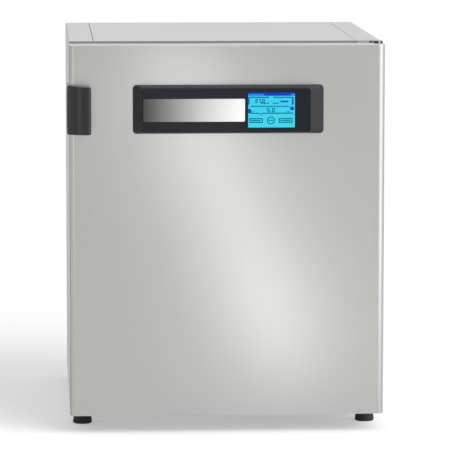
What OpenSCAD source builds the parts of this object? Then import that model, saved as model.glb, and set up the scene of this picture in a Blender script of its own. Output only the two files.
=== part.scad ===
// Carbon dioxide incubator: a folded steel cabinet round an insulated, round-cornered chamber.
// An insulated outer door carries the control bar; a glass door closes the chamber behind it.
// Sizes are in millimetres. The origin is on the floor under the middle of the whole incubator,
// the front faces -Y and +Z points up. Both doors are hinged on the +X side.

/* [Cabinet] */
// Width of the cabinet
cabinet_w = 780; // [750:1:820]
// Height of the cabinet's top above the floor
cabinet_h = 970; // [940:1:1040]
// Depth of the cabinet without its door
cabinet_d = 800; // [760:1:840]
// Height of the cabinet's underside above the floor
underside_h = 42; // [40:1:50]
// Thickness of the steel sheet
sheet_t = 1.2; // [1:0.1:1.5]
// Thickness of the base plate that the feet screw into
base_t = 2; // [1.5:0.5:4]
// Radius of the cabinet's long edges
shell_r = 5; // [3:0.5:8]
// Width of each side panel's fold on the top
top_fold_w = 62; // [56:1:76]
// Width of each side panel's fold underneath
bottom_fold_w = 15; // [10:1:17]
// Width of the open seam beside the top panel
seam_w = 1.6; // [0.8:0.1:2.5]
// Width of the joggled strip that carries the top panel's edge
joggle_w = 12; // [8:1:14]
// Distance of the stacking holes from the cabinet's side
stack_inset_x = 22; // [18:1:26]
// Distance of the stacking holes from the cabinet's front and rear
stack_inset_y = 110; // [60:1:160]
// Radius of the stacking holes, for an M6 screw
stack_hole_r = 3.3; // [3.2:0.1:4.5]
// Depth of the bushes under the stacking holes
stack_bush_h = 12; // [8:1:20]
// How far the fittings stand out behind the rear panel
fitting_proud = 12; // [10:1:16]

/* [Chamber] */
// Distance from each side of the cabinet to the chamber
side_wall_t = 86.5; // [86:0.5:92]
// Distance from the chamber's ceiling to the cabinet's top
top_wall_t = 158; // [156:1:170]
// Distance from the chamber's back to the cabinet's rear
rear_wall_t = 149; // [148:1:160]
// Radius of the chamber's corners
chamber_r = 22; // [12:1:30]
// Height of the chamber's floor above the cabinet's underside
chamber_lift = 100; // [96:1:110]
// Depth of the rebate that the glass door closes into
rebate_d = 22; // [21:0.5:26]
// Width of the rebate on each side of the chamber's mouth
rebate_side_w = 56; // [52:1:57]
// Width of the rebate above and below the chamber's mouth
rebate_end_w = 35; // [32:1:38]
// Radius of the rebate's corners
rebate_r = 8; // [5:1:12]
// Thickness of the insulation above the chamber
top_insulation_t = 80; // [70:1:82]
// Thickness of the insulation behind the chamber
rear_insulation_t = 82; // [70:1:84]
// Gap between neighbouring insulation boards
board_gap = 0.4; // [0.3:0.1:1]
// Thickness of the heater mats
heater_t = 1; // [0.5:0.1:2]
// Width of the bare band round each heater mat
heater_margin = 60; // [40:1:90]

/* [Outer door] */
// Thickness of the door
door_t = 88; // [80:1:100]
// Gap between the cabinet's top and the door's top
door_top_gap = 4.5; // [4:0.1:6]
// Gap between the cabinet's underside and the door's bottom
door_bottom_gap = 3; // [2:0.5:6]
// Radius of the door's front upright edges
door_edge_r = 15; // [8:1:20]
// Radius of the door's rear upright edges
door_back_r = 3; // [2:0.5:5]
// Thickness of the magnetic gasket between door and cabinet
gasket_t = 8; // [7:0.5:10]
// Width of the gasket
gasket_w = 15; // [12:0.5:15.5]
// Distance of the gasket from the door's edges
gasket_inset = 13; // [12.5:0.5:14]
// Distance of the hinge axis from the door's right side
hinge_inset_x = 9; // [8.5:0.1:10]
// Distance of the hinge axis from the door's back
hinge_inset_y = 9; // [8.5:0.1:9.5]
// Radius of the door's hinge pins
door_pin_r = 4.5; // [3.5:0.1:5]
// Length of pin inside the door
door_pin_reach = 20; // [14:1:26]
// Outer radius of the hinge bushes
bush_r = 7; // [6:0.1:7.2]
// Width of the skin's return at the back of the door
return_w = 4; // [3:0.5:6]
// Thickness of the hinge bracket's plates
bracket_t = 3; // [2:0.5:3.5]
// Length of the hinge bracket's leg on the cabinet's front
bracket_leg_w = 60; // [40:1:90]
// Depth of the dished middle of the door's inner panel
dish_d = 14; // [10:1:20]
// Width of the dish past the chamber's mouth on each side
dish_side_w = 30; // [20:1:40]
// Radius of the dish's corners
dish_r = 30; // [15:1:50]

/* [Control bar] */
// Width of the bar on the door
bar_w = 470; // [440:1:500]
// Height of the bar
bar_h = 120; // [110:1:140]
// How far the bar stands out from the door
bar_proud = 36; // [32:1:44]
// Distance of the bar's middle from the door's top
bar_drop = 157.5; // [120:0.5:200]
// How far the bar's middle sits to the right of the door's middle
bar_shift = 2; // [0:0.5:10]
// Radius of the bar's corners
bar_r = 9; // [5:0.5:14]
// Run of the sloped left end
bar_slope_left = 16; // [12:1:24]
// Run of the sloped right end
bar_slope_right = 32; // [24:1:40]
// Run of the sloped top and bottom edges
bar_slope_edge = 4.5; // [3:0.5:8]
// Thickness of the bar's wall
bar_wall = 3; // [2:0.5:4]
// Thickness of the dark front lens
lens_t = 2; // [1.5:0.5:3]
// Width of the rim round the lens
lens_rim = 2.5; // [2.5:0.5:8]
// Width of the display's picture
display_w = 115; // [100:1:130]
// Height of the display's picture
display_h = 86; // [76:1:92]
// Distance of the display's right edge from the lens's right edge
display_inset = 38.5; // [32:0.5:50]
// Thickness of the display module behind the picture
display_t = 9; // [6:1:12]
// Width of the metal trim plate
trim_w = 249; // [200:1:256]
// Height of the metal trim plate
trim_h = 56; // [40:1:70]
// Thickness of the metal trim plate
trim_t = 0.8; // [0.5:0.1:1]
// Distance of the trim plate from the lens's left edge
trim_inset = 6.5; // [5:0.5:8]
// Length of the control board to the left of the display
control_board_reach = 90; // [70:1:110]

/* [Handle] */
// Width of the handle on the door's front
handle_w = 59; // [50:1:70]
// Height of the handle at its outer side
handle_h = 120; // [116:1:140]
// Fall of the handle's top towards the door's middle
handle_fall = 4; // [0:0.5:5]
// Radius of the handle's corners seen from the front
handle_corner_r = 4; // [2:0.5:6]
// How far the handle stands out beside the door
handle_side_proud = 5; // [4:0.5:7]
// Distance of the handle's middle from the door's top
handle_drop = 157.5; // [120:0.5:200]
// Radius of the handle's curved front
handle_front_r = 52; // [48:1:60]
// Distance of the curve's crest from the handle's outer side
handle_crest = 45; // [38:1:46]
// Radius of the handle's inner upright edge
handle_r = 7; // [4:0.5:10]
// Height of the finger pocket
pocket_h = 92; // [80:1:100]
// Width of the finger pocket from front to back
pocket_w = 38; // [30:1:44]
// Depth of the finger pocket
pocket_d = 24; // [18:1:30]
// Thickness of the pocket's wall
pocket_wall = 3; // [2:0.5:4]

/* [Glass door] */
// Thickness of the glass
glass_t = 5; // [4:0.5:6]
// Thickness of the seal behind the glass
seal_t = 6; // [5:0.5:8]
// Width of the seal
seal_w = 10; // [8:0.5:14]
// Distance of the seal from the chamber's mouth
seal_inset = 8; // [5:0.5:12]
// Distance of the glass hinge axis from the rebate's side
glass_axis_inset = 9.5; // [9:0.1:12]
// Distance of the glass hinge axis in front of the glass
glass_axis_proud = 3; // [2.5:0.1:3.5]
// Distance of the glass's edge from the hinge axis
glass_edge_gap = 9; // [8.8:0.1:11]
// Gap between the glass and the rebate on the other sides
glass_gap = 4; // [3:0.5:6]
// Radius of the glass hinge's knuckle
knuckle_r = 6; // [5:0.1:6.4]
// Radius of the glass hinge's pin
glass_pin_r = 3; // [2.5:0.1:3.5]
// Length of the glass hinge's knuckle
knuckle_h = 26; // [18:1:36]
// Distance of each glass hinge from the end of the pane
glass_hinge_inset = 90; // [60:1:150]
// Height of the clamp on the glass
clamp_h = 50; // [40:1:70]
// Width of the clamp on the glass
clamp_w = 18; // [14:1:19]
// Wall of the clamp on the glass
clamp_t = 2; // [1.5:0.5:2.5]
// Height of the glass door's pull
pull_h = 90; // [70:1:120]
// How far the pull stands out from the glass
pull_proud = 14; // [12:1:15]

/* [Shelves] */
// Clearance between a moving piece and its seat
seat_gap = 0.3; // [0.2:0.05:0.5]
// Clearance beside each shelf
shelf_side_gap = 1.5; // [1:0.1:3]
// Gap between each shelf and the rear duct
shelf_rear_gap = 7; // [5:0.5:12]
// Distance of the shelf's front edge behind the chamber's mouth
shelf_setback = 35; // [33:1:37]
// Thickness of the shelf's sheet
shelf_t = 1.2; // [1:0.1:1.5]
// Height of the shelf's folded edge
shelf_edge_h = 12; // [8:1:16]
// Height of the lip at the shelf's rear
shelf_lip_h = 14; // [8:1:20]
// Radius of the holes in the shelf
shelf_hole_r = 6; // [4:0.5:9]
// Pitch of the holes in the shelf
shelf_hole_pitch = 42; // [36:1:60]
// Plain border round the holes in the shelf
shelf_border = 34; // [26:1:44]
// Depth of the uprights from the chamber's wall
upright_d = 6; // [5:0.5:8]
// Width of the uprights
upright_w = 26; // [22:1:34]
// Distance of the uprights from the ends of the shelf
upright_inset = 80; // [60:1:120]
// Height of the lowest slot above the chamber's floor
first_slot_h = 90; // [82:1:100]
// Pitch of the slots in the uprights
slot_pitch = 42; // [40:1:44]
// Height of each slot
slot_h = 9; // [8:1:12]
// Width of each slot
slot_w = 12; // [10:1:14]
// Thickness of the shelf brackets
shelf_bracket_t = 1; // [0.8:0.1:1.4]
// Width of the bracket's ledge under the shelf
ledge_w = 14; // [10:1:18]

/* [Air and water] */
// Width of the air ducts
duct_w = 440; // [400:1:460]
// Depth of the duct at the chamber's back
duct_d = 42; // [41:1:44]
// Depth of the duct under the chamber's ceiling
top_duct_h = 42; // [38:1:46]
// Gap under the rear duct
duct_floor_gap = 60; // [55:1:80]
// Distance of the top duct's front from the chamber's mouth
top_duct_setback = 90; // [70:1:140]
// Radius of the blower wheel
wheel_r = 75; // [65:1:80]
// Depth of the blower wheel
wheel_d = 26; // [20:1:28]
// Distance of the blower's axis below the top duct
blower_drop = 88; // [84:1:110]
// Number of the blower's blades
blade_count = 14; // [10:1:18]
// Thickness of the blades
blade_t = 1.5; // [1:0.1:2]
// Radius of the blower's hub
hub_r = 13; // [10:1:16]
// Radius of the blower's shaft
shaft_r = 4; // [3:0.5:5]
// Radial clearance of shafts and pins in their bores
running_gap = 0.05; // [0.02:0.01:0.09]
// Radius of the motor
motor_r = 44; // [36:1:50]
// Length of the motor
motor_l = 44; // [30:1:48]
// Radius of the intake filter
filter_r = 85; // [75:1:95]
// Height of the intake filter
filter_h = 34; // [28:1:40]
// Radius of the filter's neck
neck_r = 58; // [50:1:64]
// Number of pleats in the filter
pleat_count = 48; // [36:1:60]
// Distance of the water tray from the chamber's side walls
tray_side_gap = 73.5; // [55:0.5:95]
// Distance of the water tray from the chamber's mouth and from the rear duct
tray_end_gap = 58.5; // [54:0.5:80]
// Height of the water tray
tray_h = 38; // [30:1:44]
// Wall of the water tray
tray_wall = 1; // [0.8:0.1:1.2]
// Length of tray left open in front of its cover
fill_gap = 70; // [50:1:90]

/* [Ports and electrics] */
// Inner radius of the access port
port_r = 21; // [18:0.5:23]
// Wall of the access port's sleeve
port_wall = 2; // [1.5:0.5:3]
// Distance of the access port from the chamber's right wall
port_inset_x = 42; // [40:0.5:50]
// Distance of the access port below the chamber's ceiling
port_drop = 160; // [140:1:200]
// Length of the access port's plug inside the sleeve
plug_l = 36; // [25:1:50]
// Radius of the pressure vent
vent_r = 7; // [5:0.5:9]
// Distance of the pressure vent below the access port
vent_drop = 90; // [70:1:120]
// Radius of the gas inlet's nipple
nipple_r = 3; // [2.5:0.1:4]
// Radius of the gas tube
tube_r = 3; // [2:0.5:4]
// Distance of the gas inlet to the left of the middle
gas_x = 130; // [110:1:180]
// Distance of the gas inlet below the chamber's ceiling
gas_drop = 150; // [130:1:170]
// Distance of the power entry to the left of the middle
power_x = 290; // [270:1:310]
// Height of the power entry above the chamber's floor
power_h = 90; // [70:1:200]
// Width of the rocker switch
rocker_w = 14; // [12:1:16]
// Distance of the sensors to the right of the middle
sensor_x = 140; // [130:1:170]
// Radius of the gas sensor
sensor_r = 16; // [12:1:18]

/* [Electronics] */
// Thickness of the circuit boards
board_t = 1.6; // [1:0.1:2.4]
// Width of the main circuit board
board_w = 230; // [200:1:250]
// Depth of the main circuit board
board_d = 170; // [140:1:180]
// Height of the pillars under the main board
pillar_h = 8; // [6:1:12]
// Radius of the pillars under the main board
pillar_r = 3.5; // [3:0.5:5]
// Distance of the main board to the left of the middle
board_x = 40; // [30:1:60]
// Width of the power supply
supply_w = 200; // [160:1:230]
// Depth of the power supply
supply_d = 110; // [90:1:130]
// Height of the power supply
supply_h = 44; // [36:1:60]
// Distance of the power supply to the right of the middle
supply_x = 20; // [10:1:60]
// Distance of the electronics' front edge in front of the gas sensor
electronics_reach = 199; // [190:1:220]
// Depth of the solenoid valve's body
valve_d = 20; // [16:1:24]
// Radius of the gas line's inline filter
gas_filter_r = 14; // [10:0.5:16]

/* [Feet] */
// Radius of each foot's pad
foot_r = 24; // [20:0.5:28]
// Height of each foot's pad
foot_pad_h = 24; // [18:1:25]
// Radius of the foot's stud
stud_r = 5; // [4:0.5:6]
// Distance of the feet from the cabinet's sides
foot_inset_x = 32; // [32:1:40]
// Distance of the feet from the cabinet's front and rear
foot_inset_y = 70; // [50:1:90]
// Height of the bosses that the feet screw into
boss_h = 10; // [8:1:12]
// Radius of the bosses that the feet screw into
boss_r = 14; // [12:1:15]

/* [Hidden] */

// Colours
steel = "#c4c4c4";
bright_steel = "#d5d6d8";
dark_plastic = "#2b2c2e";
pale_foam = "#e6dfc4";
rubber_grey = "#8d9196";

// Facets round a full circle: large, medium and small
fn_large = 96;
fn_medium = 48;
fn_small = 32;

// How far a cutting tool runs past the face that it cuts
over = 1;

// The chamber's own size
chamber_w = cabinet_w - 2 * side_wall_t;
chamber_h = cabinet_h - top_wall_t - underside_h - chamber_lift;
chamber_d = cabinet_d - rebate_d - rear_wall_t;

// Planes from front to back
overall_d = bar_proud + door_t + gasket_t + cabinet_d + fitting_proud;
bar_front_y = -overall_d / 2;
door_front_y = bar_front_y + bar_proud;
door_back_y = door_front_y + door_t;
front_y = door_back_y + gasket_t;
rear_y = front_y + cabinet_d;
rebate_y = front_y + rebate_d;
back_y = rebate_y + chamber_d;
wall_stack = sheet_t + heater_t;
bay_y = back_y + wall_stack + rear_insulation_t;
rear_inner_y = rear_y - sheet_t;

// Planes from bottom to top
base_z = underside_h + sheet_t;
base_top_z = base_z + base_t;
floor_z = underside_h + chamber_lift;
ceiling_z = floor_z + chamber_h;
deck_z = ceiling_z + wall_stack + top_insulation_t;
top_inner_z = cabinet_h - sheet_t;
chamber_mid_z = (floor_z + ceiling_z) / 2;
duct_z = ceiling_z - top_duct_h;

// Planes from side to side
side_x = cabinet_w / 2;
side_inner_x = side_x - sheet_t;
wall_x = chamber_w / 2;
lining_x = wall_x + wall_stack;
rebate_x = wall_x + rebate_side_w;

// Outer door
door_bottom_z = underside_h + door_bottom_gap;
door_top_z = cabinet_h - door_top_gap;
hinge_x = side_x - hinge_inset_x;
hinge_y = door_back_y - hinge_inset_y;
dish_y = door_back_y - dish_d;
bracket_gap = (door_top_gap - bracket_t) * 2 / 3;
handle_z = door_top_z - handle_drop;
bar_z = door_top_z - bar_drop;
bar_left_x = bar_shift - bar_w / 2;
bar_right_x = bar_shift + bar_w / 2;
bar_edge_t = 1.5;
bar_face_low = [bar_left_x + bar_slope_left, bar_z - bar_h / 2 + bar_slope_edge];
bar_face_high = [bar_right_x - bar_slope_right, bar_z + bar_h / 2 - bar_slope_edge];
lens_low = bar_face_low + [lens_rim, lens_rim];
lens_high = bar_face_high - [lens_rim, lens_rim];
lens_y = bar_front_y + trim_t;
display_right_x = lens_high.x - display_inset;
display_low = [display_right_x - display_w, bar_z - display_h / 2];
display_high = [display_right_x, bar_z + display_h / 2];
display_rim = 5;
handle_left_x = -side_x - handle_side_proud;
handle_right_x = handle_left_x + handle_w;
handle_crest_x = handle_left_x + handle_crest;

// Glass door
glass_back_y = rebate_y - seal_t;
glass_front_y = glass_back_y - glass_t;
glass_axis_x = rebate_x - glass_axis_inset;
glass_axis_y = glass_front_y - glass_axis_proud;
glass_right_x = glass_axis_x - glass_edge_gap;
glass_left_x = -rebate_x + glass_gap;
glass_low_z = floor_z - rebate_end_w + glass_gap;
glass_high_z = ceiling_z + rebate_end_w - glass_gap;

// Shelves
upright_face_x = wall_x - upright_d;
shelf_x = upright_face_x - shelf_bracket_t - shelf_side_gap;
shelf_d = chamber_d - duct_d - shelf_setback - shelf_rear_gap;
shelf_front_y = rebate_y + shelf_setback;
shelf_back_y = shelf_front_y + shelf_d;
upright_ys = [shelf_front_y + upright_inset, shelf_back_y - upright_inset];
slot_count = floor((chamber_h - top_duct_h - first_slot_h) / slot_pitch);
shelf_step = floor(slot_count / 3);
shelf_slots = [0, shelf_step, 2 * shelf_step];
function slot_z(n) = floor_z + first_slot_h + n * slot_pitch;

// Air
duct_front_y = back_y - duct_d;
top_duct_front_y = rebate_y + top_duct_setback;
blower_z = duct_z - blower_drop;
wheel_gap = 4;
shaft_seal_lip = 3;
seal_tube_r = 11;
wheel_back_y = back_y - wheel_gap - shaft_seal_lip;
wheel_front_y = wheel_back_y - wheel_d;
filter_y = (top_duct_front_y + duct_front_y) / 2 - 60;
tray_w = chamber_w - 2 * tray_side_gap;
tray_d = chamber_d - duct_d - 2 * tray_end_gap;
tray_y = (rebate_y + duct_front_y) / 2;

// Ports
port_x = wall_x - port_inset_x;
port_z = ceiling_z - port_drop;
port_outer_r = port_r + port_wall;
vent_z = port_z - vent_drop;
gas_z = ceiling_z - gas_drop;
sensor_y = duct_front_y - 110;
probe_r = 4;
probe_pitch = 40;
hole_gap = 0.5;
power_z = floor_z + power_h;
power_size = [48, 92];
power_depth = 32;
rocker_pivot_z = power_z + 27;
rocker_tilt = 12;
socket_z = power_z + 110;
socket_block_w = 44;
socket_block_h = 20;
foot_x = side_x - foot_inset_x;
foot_ys = [front_y + foot_inset_y, rear_y - foot_inset_y];
stack_x = side_x - stack_inset_x;
stack_ys = [front_y + stack_inset_y, rear_y - stack_inset_y];
electronics_y = sensor_y - electronics_reach;
valve_y = bay_y + 6;

// A box between two corners
module block(low, high) {
  translate(low) cube(high - low);
}

// A rectangle with true round corners between two corners
module rounded_rect(low, high, r, fn = fn_medium) {
  translate([low.x + r, low.y]) square([high.x - low.x - 2 * r, high.y - low.y]);
  translate([low.x, low.y + r]) square([high.x - low.x, high.y - low.y - 2 * r]);
  for (x = [low.x + r, high.x - r], y = [low.y + r, high.y - r])
    translate([x, y]) circle(r, $fn = fn);
}

// An outline drawn in X and Z, made solid from y0 back to y1
module standing(y0, y1) {
  translate([0, y1, 0]) rotate([90, 0, 0]) linear_extrude(y1 - y0) children();
}

// A rod along Y from y0 back to y1
module rod_y(x, z, y0, y1, r, fn = fn_medium) {
  translate([x, y1, z]) rotate([90, 0, 0]) cylinder(r = r, h = y1 - y0, $fn = fn);
}

// A rod along X from x0 to x1
module rod_x(x0, x1, y, z, r) {
  translate([x0, y, z]) rotate([0, 90, 0]) cylinder(r = r, h = x1 - x0, $fn = fn_small);
}

// A ring outline between a rounded rectangle and one inside it
module ring_outline(low, high, r, w) {
  difference() {
    rounded_rect(low, high, r);
    rounded_rect(low + [w, w], high - [w, w], max(r - w, 0.5));
  }
}

// The cabinet's front outline, drawn in by an inset
module shell_outline(inset) {
  low = [-side_x + inset, underside_h + inset];
  high = [side_x - inset, cabinet_h - inset];
  rounded_rect(low, high, shell_r - inset);
}

// The part of the cabinet's inner outline between two heights and, if given, two sides
module inner_slice(z0, z1, x0 = -side_x, x1 = side_x) {
  intersection() {
    shell_outline(sheet_t);
    translate([x0, z0]) square([x1 - x0, z1 - z0]);
  }
}

// The chamber's mouth, grown by a margin
module mouth_outline(grow) {
  rounded_rect([-wall_x - grow, floor_z - grow], [wall_x + grow, ceiling_z + grow], chamber_r + grow);
}

// The rebate's outline, grown by a margin
module rebate_outline(grow) {
  rounded_rect(
    [-rebate_x - grow, floor_z - rebate_end_w - grow],
    [rebate_x + grow, ceiling_z + rebate_end_w + grow],
    rebate_r + grow
  );
}

// The door seen from above, drawn in by an inset: large round edges in front, small ones behind
module door_plan(inset) {
  x = side_x - inset;
  r = door_edge_r - inset;
  back_r = door_back_r - inset;
  y0 = door_front_y + inset;
  y1 = door_back_y - inset;
  translate([-x + r, y0]) square([2 * (x - r), y1 - y0]);
  translate([-x, y0 + r]) square([2 * x, y1 - y0 - r - back_r]);
  translate([-x + back_r, y0 + r]) square([2 * (x - back_r), y1 - y0 - r]);
  for (s = [-1, 1]) {
    translate([s * (x - r), y0 + r]) circle(r, $fn = fn_medium);
    translate([s * (x - back_r), y1 - back_r]) circle(back_r, $fn = fn_small);
  }
}

// One folded side panel: the side, its fold on the top, a joggled strip and two stacking bushes
module side_panel() {
  fold_x = -side_x + top_fold_w;
  weld = sheet_t / 2;
  color(steel) difference() {
    union() {
      standing(front_y, rear_y) intersection() {
        difference() {
          shell_outline(0);
          shell_outline(sheet_t);
        }
        union() {
          translate([-side_x - over, cabinet_h / 2]) square([top_fold_w + over, cabinet_h]);
          translate([-side_x - over, 0]) square([bottom_fold_w + over, cabinet_h / 2 + over]);
        }
      }
      block(
        [fold_x - joggle_w, front_y + sheet_t, top_inner_z - sheet_t],
        [fold_x + seam_w + joggle_w, rear_inner_y, top_inner_z]
      );
      block(
        [fold_x - joggle_w, front_y + sheet_t, top_inner_z - sheet_t],
        [fold_x, rear_inner_y, top_inner_z + weld]
      );
      for (y = stack_ys)
        translate([-stack_x, y, top_inner_z - stack_bush_h])
          cylinder(r = 2 * stack_hole_r, h = stack_bush_h + weld, $fn = fn_small);
    }
    for (y = stack_ys)
      translate([-stack_x, y, top_inner_z - stack_bush_h - over])
        cylinder(r = stack_hole_r, h = stack_bush_h + sheet_t + 2 * over, $fn = fn_small);
  }
}

module left_side_panel() {
  side_panel();
}

module right_side_panel() {
  mirror([1, 0, 0]) side_panel();
}

// The loose panel between the two folds on the top
module top_panel() {
  x = side_x - top_fold_w - seam_w;
  color(steel) block([-x, front_y, top_inner_z], [x, rear_y, cabinet_h]);
}

// The plate that carries everything, with a drilled boss for each foot
module base_plate() {
  color(steel) difference() {
    union() {
      standing(front_y + sheet_t, rear_inner_y) inner_slice(base_z, base_top_z);
      for (x = [-foot_x, foot_x], y = foot_ys)
        translate([x, y, base_z - boss_h])
          cylinder(r = boss_r, h = boss_h + base_t, $fn = fn_small);
    }
    for (x = [-foot_x, foot_x], y = foot_ys)
      translate([x, y, base_z - boss_h - over])
        cylinder(r = stud_r + running_gap, h = boss_h + base_t + 2 * over, $fn = fn_small);
  }
}

// The rear panel, cut out for its fittings, with two fields of cooling slots
module rear_panel() {
  slot_field_x = 90;
  vent_slot = [60, 4];
  vent_rows = 5;
  vent_pitch = 10;
  color(steel) difference() {
    standing(rear_inner_y, rear_y) difference() {
      shell_outline(sheet_t);
      for (s = [-1, 1], side = [-1, 1], row = [0:vent_rows - 1])
        translate([s * slot_field_x * 2 + side * 40, deck_z + 22 + row * vent_pitch])
          rounded_rect(-vent_slot / 2, vent_slot / 2, 1.9);
      translate([-power_x, power_z]) square(power_size + 2 * [hole_gap, hole_gap], center = true);
      translate([-power_x, socket_z])
        square([socket_block_w, socket_block_h] + 2 * [hole_gap, hole_gap], center = true);
    }
    rod_y(port_x, port_z, rear_inner_y - over, rear_y + over, port_outer_r + hole_gap);
    rod_y(port_x, vent_z, rear_inner_y - over, rear_y + over, vent_r + hole_gap);
    rod_y(-gas_x, gas_z, rear_inner_y - over, rear_y + over, nipple_r + 2);
  }
}

// The frame behind the outer door: a flat band, a rebate for the glass door and the chamber's mouth
module front_frame() {
  color(bright_steel) difference() {
    union() {
      standing(front_y, front_y + sheet_t) shell_outline(sheet_t);
      standing(front_y, rebate_y + sheet_t) rebate_outline(sheet_t);
    }
    standing(front_y - over, rebate_y) rebate_outline(0);
    standing(rebate_y - over, rebate_y + sheet_t + over) mouth_outline(0);
  }
}

// The pierced places of the chamber's rear wall and everything behind it
module rear_bores(y0, y1) {
  rod_y(0, blower_z, y0, y1, seal_tube_r + hole_gap / 2);
  rod_y(port_x, port_z, y0, y1, port_outer_r + hole_gap / 2);
  rod_y(port_x, vent_z, y0, y1, vent_r + hole_gap / 2);
  rod_y(-gas_x, gas_z, y0, y1, tube_r + hole_gap / 2);
}

// The pierced places of the ceiling and everything above it
module ceiling_bores(z0, z1) {
  translate([sensor_x, sensor_y, z0])
    cylinder(r = sensor_r + hole_gap / 2, h = z1 - z0, $fn = fn_medium);
  translate([sensor_x, sensor_y + probe_pitch, z0])
    cylinder(r = probe_r + hole_gap / 2, h = z1 - z0, $fn = fn_medium);
}

// The round-cornered chamber, pressed and welded from bright sheet
module chamber_liner() {
  color(bright_steel) difference() {
    standing(rebate_y + sheet_t, back_y + sheet_t) mouth_outline(sheet_t);
    standing(rebate_y, back_y) mouth_outline(0);
    rear_bores(back_y - over, back_y + sheet_t + over);
    ceiling_bores(ceiling_z - over, ceiling_z + sheet_t + over);
  }
}

// Five separate boards that fill the space between the chamber and the cabinet
module insulation_boards() {
  y0 = rebate_y + sheet_t;
  y1 = bay_y - rear_insulation_t;
  x = lining_x - board_gap;
  low_z = floor_z - wall_stack;
  high_z = ceiling_z + wall_stack;
  color(pale_foam) {
    standing(y0, bay_y) inner_slice(base_top_z, deck_z, x1 = -lining_x);
    standing(y0, bay_y) inner_slice(base_top_z, deck_z, x0 = lining_x);
    block([-x, y0, base_top_z], [x, bay_y, low_z]);
    difference() {
      block([-x, y0, high_z], [x, bay_y, deck_z]);
      ceiling_bores(high_z - over, deck_z + over);
    }
    difference() {
      block([-x, y1, low_z + board_gap], [x, bay_y, high_z - board_gap]);
      rear_bores(y1 - over, bay_y + over);
    }
  }
}

// Five flat heater mats stuck to the outside of the chamber
module wall_heaters() {
  m = heater_margin;
  x = wall_x - m;
  y0 = rebate_y + m;
  y1 = back_y - m;
  color("#b5651d") {
    for (s = [-1, 1])
      translate([s * (wall_x + sheet_t + heater_t / 2), (y0 + y1) / 2, chamber_mid_z])
        cube([heater_t, y1 - y0, chamber_h - 2 * m], center = true);
    block([-x, y0, floor_z - wall_stack], [x, y1, floor_z - sheet_t]);
    difference() {
      block([-x, y0, ceiling_z + sheet_t], [x, y1, ceiling_z + wall_stack]);
      ceiling_bores(ceiling_z, deck_z);
    }
    difference() {
      block([-x, back_y + sheet_t, floor_z + m], [x, back_y + wall_stack, ceiling_z - m]);
      rear_bores(back_y, bay_y);
    }
  }
}

// The tray over the insulation that carries the electronics
module electronics_tray() {
  lip_h = 12;
  color(steel) difference() {
    union() {
      block([-side_inner_x, front_y + sheet_t, deck_z], [side_inner_x, bay_y, deck_z + sheet_t]);
      for (y = [front_y + sheet_t, bay_y - sheet_t])
        block([-side_inner_x, y, deck_z], [side_inner_x, y + sheet_t, deck_z + lip_h]);
    }
    ceiling_bores(deck_z - over, deck_z + sheet_t + over);
  }
}

// Two angle brackets on the cabinet's front, each with the pin that the door turns on
module door_hinge_brackets() {
  x1 = side_inner_x;
  x0 = x1 - bracket_leg_w;
  plate_x0 = hinge_x - 1.5 * bush_r;
  front = hinge_y - 1.3 * bush_r;
  top_plate_z = door_top_z + bracket_gap;
  bottom_plate_z = door_bottom_z - bracket_gap - bracket_t;
  leg_y = front_y - bracket_t;
  top_leg_z = door_top_z - gasket_inset + over;
  bottom_leg_z = door_bottom_z + gasket_inset - over;
  color(bright_steel) {
    block([plate_x0, front, top_plate_z], [x1, front_y, top_plate_z + bracket_t]);
    block([x0, leg_y, top_leg_z], [x1, front_y, top_plate_z + bracket_t]);
    translate([hinge_x, hinge_y, door_top_z - door_pin_reach])
      cylinder(r = door_pin_r, h = door_pin_reach + bracket_gap + bracket_t, $fn = fn_small);
    block([plate_x0, front, bottom_plate_z], [x1, front_y, bottom_plate_z + bracket_t]);
    block([x0, leg_y, bottom_plate_z], [x1, front_y, bottom_leg_z]);
    translate([hinge_x, hinge_y, bottom_plate_z])
      cylinder(r = door_pin_r, h = door_pin_reach + bracket_gap + bracket_t, $fn = fn_small);
  }
}

// Four slotted channels on the chamber's side walls
module shelf_uprights() {
  z0 = slot_z(0) - slot_pitch / 2;
  z1 = slot_z(slot_count - 1) + slot_pitch / 2;
  web = 1;
  color(bright_steel) for (s = [0, 1], y = upright_ys) mirror([s, 0, 0]) difference() {
    block([upright_face_x, y - upright_w / 2, z0], [wall_x, y + upright_w / 2, z1]);
    block(
      [upright_face_x + web, y - upright_w / 2 + web, z0 - over],
      [wall_x + over, y + upright_w / 2 - web, z1 + over]
    );
    for (n = [0:slot_count - 1])
      block(
        [upright_face_x - over, y - slot_w / 2, slot_z(n)],
        [upright_face_x + web + over, y + slot_w / 2, slot_z(n) + slot_h]
      );
  }
}

// Six hooked brackets, two under each shelf, with a lip over the shelf's rear against tipping
module shelf_brackets() {
  t = shelf_bracket_t;
  hook_w = slot_w - 2;
  lip_z = shelf_edge_h + 2 * seat_gap;
  x = upright_face_x;
  y0 = shelf_front_y;
  y1 = shelf_back_y;
  color(bright_steel) for (s = [0, 1], n = shelf_slots) mirror([s, 0, 0]) translate([0, 0, slot_z(n)]) {
    block([x - t, y0, -t], [x, y1, lip_z + t]);
    block([x - ledge_w, y0, -t], [x, y1, 0]);
    block([x - ledge_w, y1 - shelf_d / 2, lip_z], [x, y1, lip_z + t]);
    for (y = upright_ys) block([x - t, y - hook_w / 2, t], [x + 4, y + hook_w / 2, slot_h - t]);
  }
}

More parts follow.
